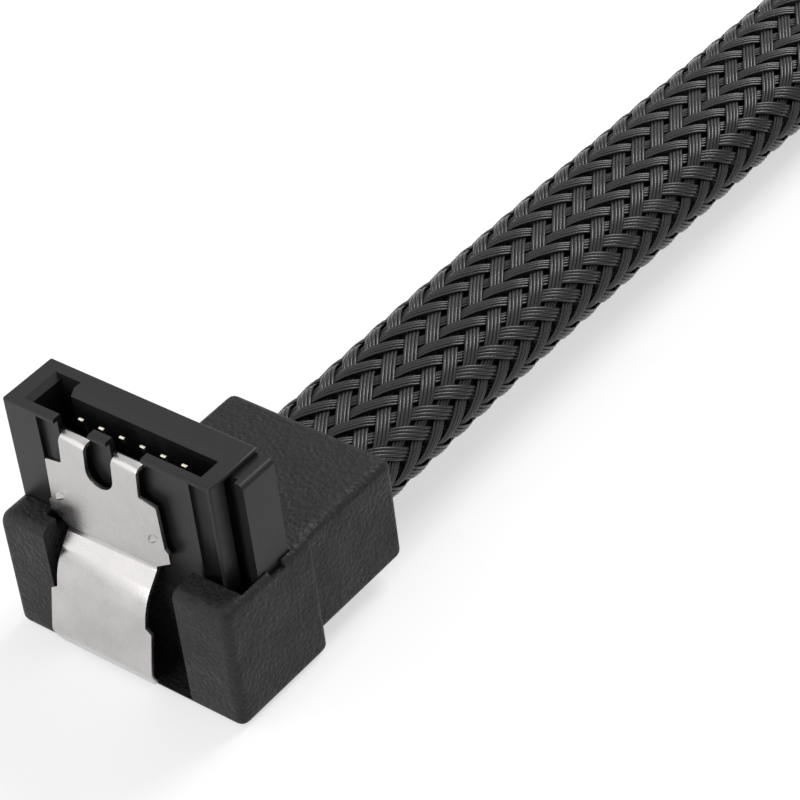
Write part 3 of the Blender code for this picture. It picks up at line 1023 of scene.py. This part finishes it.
@dataclass(frozen=True)
class ContactStrip:
    """One contact: a plated strip with a bowed spring and a coined tip."""

    width: float = 0.00032
    thickness: float = 0.00015
    tip_drop: float = 0.00045
    key_tip_drop: float = 0.00135
    standoff: float = 0.00022
    bow: float = 0.00042
    spring: float = 0.0009
    tail: float = 0.0016
    softness: float = 0.00004
    arc_steps: int = 8

    def across(self, number: int) -> float:
        """Return where a contact stands along the row, counted from 0 at the key."""
        return (number - (CONTACT_COUNT - 1) / 2) * CONTACT_PITCH

    def build(self, number: int, seat: Seat) -> bpy.types.Object:
        """Return one contact as a finished piece.

        Args:
            number: its place in the row, from 0 at the key.
            seat: where its plug goes.

        Returns:
            The piece.
        """
        insert = InsertHousing()
        drop = self.tip_drop if number else self.key_tip_drop
        front = insert.front_wall + self.standoff
        corners = [
            (front, FIT_GAP - insert.depth - self.tail, 0),
            (front, -insert.depth / 2 - drop, self.bow),
            (front + self.bow, -drop - self.spring, self.bow),
            (front + self.bow / 2, -drop, 0),
        ]
        middle = self.across(number)
        edges = (middle - self.width / 2, middle + self.width / 2)
        bm = bmesh.new()
        rows = []
        for y, z in rounded_path(corners, self.arc_steps):
            rows.append([bm.verts.new((x, y, z)) for x in edges])
        for one, two in zip(rows, rows[1:]):
            bm.faces.new((one[0], one[1], two[1], two[0]))
        solid = thickened(bm, self.thickness, self.softness, "strip")
        name = f"contact_strip_{number + 1}"
        return seat.finish(solid, name, f"contact_{number + 1}", CONTACT_METAL, Slot.CONTACT)


@dataclass(frozen=True)
class LatchClip:
    """The latch: a stamped strip bent over its side view, with hooks, wings and a thumb pad."""

    centre: float = -0.00055
    thickness: float = 0.0002
    standoff: float = 0.00035
    top_drop: float = 0.0005
    hook_lean: float = 0.00026
    hook_bend: float = 0.00036
    hook_reach: float = 0.00022
    hook_inner: float = 0.00085
    hook_outer: float = 0.0024
    notch_floor: float = 0.00275
    shoulder_half: float = 0.00345
    shoulder_taper: float = 0.0001
    wing_half: float = 0.00375
    neck_half: float = 0.0028
    pad_half: float = 0.00318
    foot_half: float = 0.0028
    step_taper: float = 0.0002
    shoulder_drop: float = 0.0022
    wing_drop: float = 0.0051
    wing_foot_drop: float = 0.0057
    neck_drop: float = 0.0063
    pad_drop: float = 0.0093
    pad_foot_drop: float = 0.0123
    corner: float = 0.000099
    corner_steps: int = 3
    fold_drop: float = 0.00645
    fold_radius: float = 0.0004
    knee_share: float = 0.58
    knee_fall: float = 0.00135
    knee_radius: float = 0.0034
    belly_standoff: float = 0.0024
    belly_drop: float = 0.01165
    belly_radius: float = 0.0007
    foot_tuck: float = 0.82
    foot_rise: float = 0.0001
    foot_radius: float = 0.0004
    foot_length: float = 0.0008
    floor: float = -0.01279
    barb_height: float = 0.00026
    barb_width: float = 0.0008
    barb_offset: float = 0.0029
    barb_drop: float = 0.0045
    softness: float = 0.000035
    arc_steps: int = 10
    crease: float = 40.0

    def build(self, seat: Seat) -> bpy.types.Object:
        """Return the latch as a finished piece.

        Args:
            seat: where it goes.

        Returns:
            The piece.
        """
        profile = self._profile()
        lengths = path_lengths(profile)
        bm = bmesh.new()
        outline = self._half_outline(profile, lengths)
        bm.faces.new([bm.verts.new((-half, 0, -along)) for half, along in outline])
        for length in lengths[1:-1]:
            geometry = bm.verts[:] + bm.edges[:] + bm.faces[:]
            bmesh.ops.bisect_plane(
                bm, geom=geometry, plane_co=(0, 0, -length), plane_no=(0, 0, 1), dist=MERGE
            )
        for vert in bm.verts:
            y, z = point_along(profile, lengths, -vert.co.z)
            vert.co = (vert.co.x, y, z)
        copied = bmesh.ops.duplicate(bm, geom=bm.verts[:] + bm.edges[:] + bm.faces[:])["geom"]
        for vert in copied:
            if isinstance(vert, bmesh.types.BMVert):
                vert.co.x = -vert.co.x
        bmesh.ops.reverse_faces(bm, faces=[f for f in copied if isinstance(f, bmesh.types.BMFace)])
        bmesh.ops.remove_doubles(bm, verts=bm.verts, dist=MERGE)
        for vert in bm.verts:
            vert.co.x += self.centre + self.hook_lean * max(0.0, 1 + vert.co.z / self.notch_floor)
        solid = thickened(bm, self.thickness, self.softness, "latch_sheet")
        for side in (-1, 1):
            self._add_barb(solid, side)
        return seat.finish(solid, "latch", "latch_clip", LATCH_STEEL, Slot.STEEL, self.crease)

    def _profile(self) -> list[Vector]:
        """Draw the outer side view, from the hooks down to the foot.

        Returns:
            Points (y, z).
        """
        face = -self.standoff
        belly = -self.belly_standoff
        knee = face + self.knee_share * (belly - face)
        foot = self.foot_tuck * belly
        corners = [
            (face + self.hook_bend + self.hook_reach, -self.top_drop, 0),
            (face, -self.top_drop, self.hook_bend),
            (face, -self.fold_drop, self.fold_radius),
            (knee, -self.fold_drop - self.knee_fall, self.knee_radius),
            (belly, -self.belly_drop, self.belly_radius),
            (foot, self.floor + self.foot_rise, self.foot_radius),
            (foot + self.foot_length, self.floor, 0),
        ]
        return rounded_path(corners, self.arc_steps)

    def _side(self) -> list[Flat]:
        """List the stamped side, from the hook's shoulder down to the foot.

        Returns:
            The blank's half width and the drop below the mating face at each corner.
        """
        step = self.step_taper
        return [
            (self.hook_outer, self.shoulder_drop),
            (self.shoulder_half, self.shoulder_drop + step),
            (self.shoulder_half + self.shoulder_taper, self.wing_drop - step),
            (self.wing_half, self.wing_drop),
            (self.wing_half, self.wing_foot_drop),
            (self.neck_half, self.neck_drop),
            (self.neck_half, self.pad_drop - step),
            (self.pad_half, self.pad_drop),
            (self.pad_half, self.pad_foot_drop),
            (self.foot_half, self.pad_foot_drop + step),
        ]

    def _half_outline(self, profile: list[Vector], lengths: list[float]) -> list[Flat]:
        """Draw half of the flat blank.

        Args:
            profile: the side view's points.
            lengths: the distance along it to each point.

        Returns:
            The half width and the distance along the profile at each corner.
        """

        def at_drop(drop: float) -> float:
            """Find where the profile's face reaches a drop.

            Args:
                drop: how far below the mating face.

            Returns:
                The distance along the profile.
            """
            for one, two, start, end in zip(profile[1:], profile[2:], lengths[1:], lengths[2:]):
                if one.y >= -drop >= two.y:
                    return start + (end - start) * (one.y + drop) / (one.y - two.y)
            return lengths[-1]

        stamped = [(self.hook_outer, 0.0, 0)]
        stamped += [(half, at_drop(drop), self.corner) for half, drop in self._side()]
        stamped += [(self.foot_half, lengths[-1], 0)]
        side = [(point.x, point.y) for point in rounded_path(stamped, self.corner_steps)]
        hook_foot = at_drop(self.notch_floor)
        notch_start = at_drop(self.notch_floor - self.hook_inner)
        outline = [(self.hook_inner, 0.0), *side, (0.0, lengths[-1]), (0.0, hook_foot)]
        for step in range(1, self.arc_steps + 1):
            angle = math.pi / 2 * step / self.arc_steps
            across = self.hook_inner * math.sin(angle)
            outline.append((across, notch_start + (hook_foot - notch_start) * math.cos(angle)))
        return outline

    def _add_barb(self, solid: bmesh.types.BMesh, side: int) -> None:
        """Add one punched latching barb, a small pyramid on the sheet's face.

        Args:
            solid: the latch so far.
            side: -1 for the left barb, 1 for the right one.
        """
        barb = bmesh.new()
        height = self.barb_height + self.thickness / 2
        bmesh.ops.create_cone(
            barb, cap_ends=True, segments=4, radius1=self.barb_width / 2, radius2=self.softness, depth=height
        )
        middle = self.centre + side * self.barb_offset
        place = Vector((middle, self.thickness / 4 - self.standoff - self.barb_height / 2, -self.barb_drop))
        turn = Matrix.Rotation(math.pi / 2, 4, "X")
        bmesh.ops.transform(barb, matrix=Matrix.Translation(place) @ turn, verts=barb.verts)
        mesh = bpy.data.meshes.new("barb")
        barb.to_mesh(mesh)
        barb.free()
        solid.from_mesh(mesh)
        bpy.data.meshes.remove(mesh)


@dataclass(frozen=True)
class MouldedBody:
    """The grained black body that is moulded round the insert and the cord's end."""

    outlet: Outlet
    left: float = 0.0066
    angled_swell: float = 0.00025
    right: float = 0.0075
    front: float = 0.00164
    back: float = 0.0049
    height: float = 0.00735
    far_length: float = 0.0096
    edge: float = 0.0005
    edge_steps: int = 5
    shoulder: float = 0.0010
    shoulder_steps: int = 8
    exit_left: float = 0.00277
    exit_inset: float = 0.00025
    exit_back: float = 0.01122
    exit_lift: float = 0.00105
    exit_top_step: float = 0.00005
    tail_length: float = 0.0045
    tail_width: float = 0.0102
    tail_thickness: float = 0.0057
    tail_edge_steps: int = 4
    side_notch_front: float = 0.0018
    side_notch_length: float = 0.0010
    side_notch_depth: float = 0.0004
    window_left: float = 0.0038
    window_right: float = 0.0043
    window_sill: float = 0.0004
    wing_room: float = 0.00015

    def top(self) -> float:
        """Return the height of the body's upper end, where the insert comes out."""
        return -InsertHousing().reach

    def foot(self) -> float:
        """Return the height of the body's lower end."""
        return self.top() - (self.height if self.outlet is Outlet.ANGLED else self.far_length)

    def build(self, seat: Seat) -> bpy.types.Object:
        """Return the moulded body as a finished piece.

        Args:
            seat: where it goes.

        Returns:
            The piece.
        """
        angled = self.outlet is Outlet.ANGLED
        left = self.left + (self.angled_swell if angled else 0)
        base = box((-left, -self.front, self.foot()), (self.right, self.back, self.top()))
        if angled:
            rounded(base, self.shoulder, self.shoulder_steps, (-1, 0, 0), (0, 0, 1))
        carving = Carving(rounded(base, self.edge, self.edge_steps))
        if angled:
            self._rear_block(carving)
        else:
            self._tail(carving)
        self._pockets(carving)
        return seat.finish(carving.carve(), "moulding", "overmould", MOULDED_BODY, Slot.MOULDED)

    def _rear_block(self, carving: Carving) -> None:
        """Add the block that the cord leaves, and cut the small notch in the side.

        Args:
            carving: the body so far.
        """
        top = self.top()
        low = (-self.exit_left, self.back / 2, self.foot() + self.exit_lift)
        high = (self.right - self.exit_inset, self.exit_back, top - self.exit_top_step)
        carving.then(rounded(box(low, high), self.edge, self.edge_steps), Join.ADD)
        notch = box(
            (self.right - self.side_notch_depth, self.side_notch_front, top - self.side_notch_depth),
            (self.right + self.edge, self.side_notch_front + self.side_notch_length, top + self.edge),
        )
        carving.then(notch)

    def _tail(self, carving: Carving) -> None:
        """Add the narrower tail of the straight body.

        Args:
            carving: the body so far.
        """
        middle_x = (self.right - self.left) / 2
        middle_y = (self.back - self.front) / 2
        low = (
            middle_x - self.tail_width / 2,
            middle_y - self.tail_thickness / 2,
            self.foot() - self.tail_length,
        )
        high = (
            middle_x + self.tail_width / 2,
            middle_y + self.tail_thickness / 2,
            self.foot() + self.tail_length / 2,
        )
        carving.then(rounded(box(low, high), self.edge, self.tail_edge_steps), Join.ADD)

    def _pockets(self, carving: Carving) -> None:
        """Cut the pocket for the insert and the window and wing room for the latch.

        Args:
            carving: the body so far.
        """
        top = self.top()
        insert = InsertHousing()
        latch = LatchClip()
        pocket = box(
            (-insert.left - FIT_GAP, -FIT_GAP, top - insert.seat - FIT_GAP),
            (
                insert.right + insert.flange_standout + FIT_GAP,
                insert.thickness + FIT_GAP,
                top + insert.seat,
            ),
        )
        carving.then(pocket)
        window = box(
            (-self.window_left, -self.front - self.edge, self.window_sill + top - self.height),
            (self.window_right, insert.panel_depth + FIT_GAP, top + insert.seat),
        )
        carving.then(window)
        wing = latch.wing_half + self.wing_room
        room = insert.hook_room
        wing_room = box(
            (latch.centre - wing, -latch.standoff - room, -latch.neck_drop - room),
            (latch.centre + wing, insert.panel_depth, top + insert.seat),
        )
        carving.then(wing_room)


@dataclass(frozen=True)
class Plug:
    """One whole plug at its place."""

    prefix: str
    outlet: Outlet
    place: Matrix
    latch_body: Body

    def build(self) -> list[bpy.types.Object]:
        """Build the moulded body, the insert, the latch and the contacts.

        Returns:
            The plug's finished pieces.
        """
        seat = Seat(self.place, self.prefix, Body.CABLE)
        pieces = [MouldedBody(self.outlet).build(seat), InsertHousing().build(seat)]
        pieces.append(LatchClip().build(Seat(self.place, self.prefix, self.latch_body)))
        strip = ContactStrip()
        return pieces + [strip.build(number, seat) for number in range(CONTACT_COUNT)]


# The cord

def ease(share: float) -> float:
    """Return a share from 0 to 1 that starts and ends level."""
    held = min(1.0, max(0.0, share))
    return held * held * (3 - 2 * held)


@dataclass(frozen=True)
class CordRoute:
    """The cord's line: out of the angled plug, round the flat coil and into the far plug."""

    exit: Point = (0.00179, 0.00681, 0.0042)
    buried: float = 0.0006
    coil_y: float = 0.084
    coil_radius: float = 0.046
    turn_spacing: float = 0.0081
    drift_turned: float = 1.9
    second_turned: float = 1.593
    inner_radius: float = 0.031
    inner_turned: float = 2.6
    floor_height: float = 0.00236
    far_height: float = 0.00327
    far_rise_turned: float = 1.2
    fall_start: float = 0.1
    run_points: int = 60
    coil_points: int = 600
    spacing: float = 0.0012

    def turned(self) -> float:
        """Return the angle that the whole cord turns through."""
        return 2 * math.pi + self.second_turned + self.inner_turned

    def heading(self) -> Vector:
        """Return the cord's direction as it enters the far plug."""
        return Vector((math.sin(self.turned()), math.cos(self.turned()), 0))

    def coil_place(self, turned: float) -> Vector:
        """Find the cord's place on the coil.

        Args:
            turned: the angle that it has turned through since the straight run.

        Returns:
            The place of its middle line.
        """
        leave = 2 * math.pi + self.second_turned
        drift = ease((turned - 2 * math.pi + self.drift_turned) / self.drift_turned)
        radius = self.coil_radius - self.turn_spacing * drift
        centre = Vector((self.exit[0] + self.coil_radius, self.coil_y, 0))
        if turned > leave:
            inward = radius - self.inner_radius
            centre += inward * Vector((-math.cos(leave), math.sin(leave), 0))
            radius = self.inner_radius
        rise = ease(1 - (self.turned() - turned) / self.far_rise_turned)
        height = self.floor_height + rise * (self.far_height - self.floor_height)
        return centre + Vector((-radius * math.cos(turned), radius * math.sin(turned), height))

    def points(self) -> list[Vector]:
        """Lay out the whole line.

        Returns:
            Evenly spaced points.
        """
        start = Vector(self.exit)
        run = self.coil_y - start.y
        line = [start - Vector((0, self.buried, 0))]
        for n in range(self.run_points):
            share = n / self.run_points
            fall = ease((share - self.fall_start) / (1 - self.fall_start))
            drop = fall * (start.z - self.floor_height)
            line.append(start + Vector((0, run * share, -drop)))
        turns = (self.turned() * n / self.coil_points for n in range(self.coil_points + 1))
        line += [self.coil_place(turned) for turned in turns]
        line.append(line[-1] + self.heading() * self.buried)
        lengths = path_lengths(line)
        count = round(lengths[-1] / self.spacing)
        return [point_along(line, lengths, lengths[-1] * n / count) for n in range(count + 1)]

    def far_place(self) -> Matrix:
        """Place the far plug on its back, in line with the cord's end.

        Returns:
            Its datum in the part's frame.
        """
        body = MouldedBody(Outlet.STRAIGHT)
        heading = self.heading()
        across = Vector((heading.y, -heading.x, 0))
        turn = Matrix((across, Vector((0, 0, -1)), heading)).transposed()
        middle = ((body.right - body.left) / 2, (body.back - body.front) / 2)
        tail = Vector((*middle, body.foot() - body.tail_length))
        return Matrix.Translation(self.coil_place(self.turned()) - turn @ tail) @ turn.to_4x4()


def braid_tree() -> bpy.types.NodeTree:
    """Return the Geometry Nodes tree that lays one family of threads along a route.

    Each thread starts as a straight line.  Its distance from the start becomes a distance
    along the route and a distance round the section, and it rises and dips where its strand
    passes over and under those of the other family.

    Returns:
        The tree.
    """
    found = bpy.data.node_groups.get("braid_family")
    if found:
        return found
    peak_flatness = 0.5
    inputs = {
        "Route": "Object",
        "Section": "Object",
        "Start": "Float",
        "Length": "Float",
        "Points": "Int",
        "Strands": "Int",
        "Threads": "Int",
        "Thread Depth": "Float",
        "Thread Width": "Float",
        "Sides": "Int",
        "Spacing": "Float",
        "Strand Pitch": "Float",
        "Slope": "Float",
        "Lift": "Float",
        "Crown": "Float",
        "Phase": "Float",
        "Shift": "Float",
        "Perimeter": "Float",
        "Finish": "Material",
    }
    tree = new_group("braid_family", "GeometryNodeTree", inputs, {"Mesh": "Geometry"})
    make = TreeMaker(tree)
    given = make.add("NodeGroupInput").outputs
    end = make.add("ShaderNodeCombineXYZ", {"X": given["Length"]})
    line = make.add("GeometryNodeCurvePrimitiveLine", {"End": end.outputs[0]})
    dotted = make.add("GeometryNodeResampleCurve", {"Curve": line.outputs[0], "Count": given["Points"]})
    copies = make.add(
        "GeometryNodeDuplicateElements",
        {"Geometry": dotted.outputs[0], "Amount": make.math("MULTIPLY", given["Strands"], given["Threads"])},
        domain="SPLINE",
    )
    number = copies.outputs["Duplicate Index"]
    strand = make.math("FLOOR", make.math("DIVIDE", make.math("ADD", number, 0.5), given["Threads"]))
    thread = make.math("SUBTRACT", number, make.math("MULTIPLY", strand, given["Threads"]))
    middle = make.math("MULTIPLY", make.math("SUBTRACT", given["Threads"], 1.0), 0.5)
    side = make.math("SUBTRACT", thread, middle)
    position = make.add("GeometryNodeInputPosition").outputs[0]
    along = make.math("ADD", make.split(position)[0], given["Start"])
    slant = make.math("SQRT", make.math("MULTIPLY_ADD", given["Slope"], given["Slope"], 1.0))
    offset = make.math("MULTIPLY", make.math("MULTIPLY", side, given["Spacing"]), slant)
    wound = make.math("MULTIPLY_ADD", along, given["Slope"], given["Shift"])
    centre = make.math("MULTIPLY_ADD", strand, given["Strand Pitch"], wound)
    crossing = make.math("MULTIPLY_ADD", offset, 0.5, centre)
    turns = make.math("DIVIDE", crossing, given["Strand Pitch"])
    wave = make.math("COSINE", make.math("MULTIPLY_ADD", turns, math.pi, given["Phase"]))
    flat = make.math("MULTIPLY_ADD", make.math("MULTIPLY", wave, wave), -peak_flatness, 1 + peak_flatness)
    rise = make.math("MULTIPLY", make.math("MULTIPLY", wave, flat), given["Lift"])
    bow = make.math("MULTIPLY", make.math("MULTIPLY", side, side), given["Crown"])
    out = make.math("SUBTRACT", rise, bow)
    around = make.math("FLOORED_MODULO", make.math("ADD", centre, offset), given["Perimeter"])
    outline = make.add("GeometryNodeObjectInfo", {"Object": given["Section"]}).outputs["Geometry"]
    spot = make.add("GeometryNodeSampleCurve", {"Curves": outline, "Length": around}, mode="LENGTH")
    at = make.split(spot.outputs["Position"])
    way = make.split(spot.outputs["Tangent"])
    right = make.math("MULTIPLY_ADD", way[1], out, at[0])
    above = make.math("SUBTRACT", at[1], make.math("MULTIPLY", way[0], out))
    route = make.add("GeometryNodeObjectInfo", {"Object": given["Route"]}).outputs["Geometry"]
    guide = make.add("GeometryNodeSampleCurve", {"Curves": route, "Length": along}, mode="LENGTH")
    ahead = guide.outputs["Tangent"]
    sideways = make.vector("NORMALIZE", make.vector("CROSS_PRODUCT", ahead, (0, 0, 1)), (0, 0, 0))
    upward = make.vector("CROSS_PRODUCT", sideways, ahead)
    moved = make.vector("ADD", guide.outputs["Position"], make.scaled(sideways, right))
    moved = make.vector("ADD", moved, make.scaled(upward, above))
    facing = make.vector("SUBTRACT", make.scaled(sideways, way[1]), make.scaled(upward, way[0]))
    kept = make.add(
        "GeometryNodeCaptureAttribute", {"Geometry": copies.outputs["Geometry"]}, domain="POINT"
    )
    kept.capture_items.new("VECTOR", "Facing")
    make.feed(kept.inputs["Facing"], facing)
    laid = make.add("GeometryNodeSetPosition", {"Geometry": kept.outputs["Geometry"], "Position": moved})
    turned = make.add(
        "GeometryNodeSetCurveNormal",
        {"Curve": laid.outputs[0], "Normal": kept.outputs["Facing"]},
        mode="FREE",
    )
    circle = make.add("GeometryNodeCurvePrimitiveCircle", {"Resolution": given["Sides"], "Radius": 0.5})
    shape = {"X": given["Thread Depth"], "Y": given["Thread Width"], "Z": 1.0}
    size = make.add("ShaderNodeCombineXYZ", shape).outputs[0]
    profile = make.add("GeometryNodeTransform", {"Geometry": circle.outputs[0], "Scale": size})
    tube = make.add(
        "GeometryNodeCurveToMesh",
        {"Curve": turned.outputs[0], "Profile Curve": profile.outputs[0], "Fill Caps": True},
    )
    smooth = make.add("GeometryNodeSetShadeSmooth", {"Geometry": tube.outputs[0]})
    real = make.add("GeometryNodeRealizeInstances", {"Geometry": smooth.outputs[0]})
    dressed = {"Geometry": real.outputs[0], "Material": given["Finish"]}
    result = make.add("NodeGroupOutput")
    make.feed(result.inputs["Mesh"], make.add("GeometryNodeSetMaterial", dressed).outputs[0])
    return tree


def grown(name: str, tree: bpy.types.NodeTree, values: dict[str, object]) -> bpy.types.Object:
    """Evaluate a Geometry Nodes tree to a plain mesh object.

    Args:
        name: the new piece's name.
        tree: the tree to evaluate.
        values: the tree's inputs by name.

    Returns:
        An object at the origin with no modifier on it.
    """
    seed = object_of(bpy.data.meshes.new(name + "_seed"))
    modifier = seed.modifiers.new("grow", "NODES")
    modifier.node_group = tree
    for item in tree.interface.items_tree:
        if item.in_out == "INPUT":
            modifier[item.identifier] = values[item.name]
    return object_of(bake(seed, name))


def guide_curve(name: str, points: list[Vector], cyclic: bool) -> bpy.types.Object:
    """Make a polyline that a tree reads and that is deleted afterwards.

    Args:
        name: the curve's name.
        points: its points in order.
        cyclic: whether it is closed.

    Returns:
        The curve's object.
    """
    curve = bpy.data.curves.new(name, "CURVE")
    curve.dimensions = "3D"
    spline = curve.splines.new("POLY")
    spline.points.add(len(points) - 1)
    for spot, point in zip(spline.points, points):
        spot.co = (*point, 1.0)
    spline.use_cyclic_u = cyclic
    item = bpy.data.objects.new(name, curve)
    bpy.context.scene.collection.objects.link(item)
    return item


class Detail(Enum):
    """How finely a stretch of the sleeve is woven."""

    THREADS = "threads"
    RIBBONS = "ribbons"


@dataclass(frozen=True)
class Stretch:
    """One stretch of the sleeve: its name, where it starts and ends, and how fine it is."""

    name: str
    start: float
    end: float
    step: float
    detail: Detail


@dataclass(frozen=True)
class Sleeve:
    """The woven sleeve: two families of flat strands, each of a few threads, two over two under."""

    width: float = 0.0078
    height: float = 0.0046
    strands: int = 16
    step: float = 0.00183
    threads: int = 4
    thread: float = 0.000175
    thread_overlap: float = 1.12
    thread_flatness: float = 0.65
    lift: float = 0.00013
    crown: float = 0.000012
    phase: float = -0.381
    shift: float = 0.00045
    arc_points: int = 32
    fine_length: float = 0.076
    fine_step: float = 0.0003
    fine_sides: int = 6
    ribbon_step: float = 0.00036
    ribbon_sides: int = 4

    def inset(self) -> float:
        """Return how far the threads' middle line lies inside the sleeve's outer size."""
        return self.lift + self.thread / 2

    def section(self, inset: float) -> list[Vector]:
        """Return the flat-topped oval from its right side over the top.

        Args:
            inset: how far the line lies inside the sleeve's outer size.

        Returns:
            Points counter-clockwise, looking back along the cord.
        """
        radius = self.height / 2 - inset
        flat = (self.width - self.height) / 2
        points = []
        for half in (0, 1):
            for n in range(self.arc_points + 1):
                angle = math.pi * (n / self.arc_points + half - 0.5)
                sign = -1 if half else 1
                points.append(
                    Vector((sign * flat + radius * math.cos(angle), radius * math.sin(angle), 0))
                )
        middle = self.arc_points // 2
        right = Vector((flat + radius, 0, 0))
        return [right] + points[middle + 1:] + points[:middle]

    def perimeter(self, inset: float) -> float:
        """Return the length round the section at an inset."""
        points = self.section(inset)
        return path_lengths([*points, points[0]])[-1]

    def weave(self, route: CordRoute) -> list[bpy.types.Object]:
        """Return the sleeve's pieces, two for each stretch.

        Args:
            route: the cord's line.

        Returns:
            The pieces, not yet riding on a body.
        """
        points = route.points()
        total = path_lengths(points)[-1]
        outline = guide_curve("section_guide", self.section(self.inset()), True)
        line = guide_curve("route_guide", points, False)
        half = (total + self.fine_length) / 2
        stretches = (
            Stretch("near", 0.0, self.fine_length, self.fine_step, Detail.THREADS),
            Stretch("coiled", self.fine_length, half, self.ribbon_step, Detail.RIBBONS),
            Stretch("inner", half, total, self.ribbon_step, Detail.RIBBONS),
        )
        pieces = []
        for stretch in stretches:
            for family, sign in (("left", 1), ("right", -1)):
                values = self._values(stretch, sign)
                values["Route"] = line
                values["Section"] = outline
                piece = grown(f"sleeve_{stretch.name}_{family}", braid_tree(), values)
                report(piece)
                pieces.append(piece)
        bpy.data.objects.remove(outline)
        bpy.data.objects.remove(line)
        return pieces

    def _values(self, stretch: Stretch, sign: int) -> dict[str, object]:
        """Return the tree's inputs for one family of a stretch.

        Args:
            stretch: the stretch of the sleeve.
            sign: 1 for the family that winds over to the left, -1 for the other.

        Returns:
            Input names with their values.
        """
        fine = stretch.detail is Detail.THREADS
        perimeter = self.perimeter(self.inset())
        pitch = perimeter / self.strands
        opposite = (0.5 - 2 * self.phase / math.pi) * pitch - self.shift
        return {
            "Start": stretch.start,
            "Length": stretch.end - stretch.start,
            "Points": round((stretch.end - stretch.start) / stretch.step),
            "Strands": self.strands,
            "Threads": self.threads if fine else 1,
            "Thread Depth": self.thread * self.thread_flatness,
            "Thread Width": self.thread * self.thread_overlap if fine else self.threads * self.thread,
            "Sides": self.fine_sides if fine else self.ribbon_sides,
            "Spacing": self.thread,
            "Strand Pitch": pitch,
            "Slope": sign * pitch / self.step,
            "Lift": sign * self.lift,
            "Crown": self.crown if fine else 0.0,
            "Phase": self.phase,
            "Shift": self.shift if sign > 0 else opposite,
            "Perimeter": perimeter,
            "Finish": THREAD.material(),
        }


@dataclass(frozen=True)
class SleevedCord:
    """The cord: a dark core inside a woven sleeve, laid along its route."""

    route: CordRoute = CordRoute()
    sleeve: Sleeve = Sleeve()
    core_inset: float = 0.00046
    core_stride: int = 4

    def build(self, far_pieces: list[bpy.types.Object]) -> None:
        """Args:
            far_pieces: the far plug's pieces, which lie on the cord's end; not used.
        """
        core = self._core()
        woven = self.sleeve.weave(self.route)
        for piece in (core, *woven):
            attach(piece, Body.CABLE.value)
        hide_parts("cable_run", "cable_coil", "cable_tail")
        points = self.route.points()
        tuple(self.route.exit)
        path_lengths(points)[-1]
        [tuple(point) for point in points]

    def _core(self) -> bpy.types.Object:
        """Make the dark tube that shows between the strands.

        Returns:
            The tube, not yet riding on a body.
        """
        section = self.sleeve.section(self.core_inset)[::self.core_stride]
        points = self.route.points()
        bm = bmesh.new()
        rings = []
        for before, point, after in zip(points[:1] + points, points, points[1:] + points[-1:]):
            ahead = (after - before).normalized()
            sideways = ahead.cross(Vector((0, 0, 1))).normalized()
            upward = sideways.cross(ahead)
            rings.append([bm.verts.new(point + sideways * s.x + upward * s.y) for s in section])
        for one, two in zip(rings, rings[1:]):
            for a, b, c, d in zip(one, one[1:] + one[:1], two[1:] + two[:1], two):
                bm.faces.new((a, b, c, d))
        bm.faces.new(rings[0])
        bm.faces.new(rings[-1])
        bmesh.ops.recalc_face_normals(bm, faces=bm.faces)
        core = object_from(bm, "sleeve_core")
        core.data.shade_smooth()
        core.data.materials.append(CORE.material())
        report(core)
        return core


def main() -> None:
    """Build the camera, the studio, the plugs and the cord, in that order."""
    logging.basicConfig(level=logging.INFO, format="%(name)s %(message)s")
    PhotoCamera().build()
    Studio().build()
    Plug("", Outlet.ANGLED, Matrix.Translation(PLUG_PLACE), Body.LATCH).build()
    cord = SleevedCord()
    far_plug = Plug("far_", Outlet.STRAIGHT, cord.route.far_place(), Body.FAR_LATCH)
    cord.build(far_plug.build())


if __name__ == "__main__":
    main()
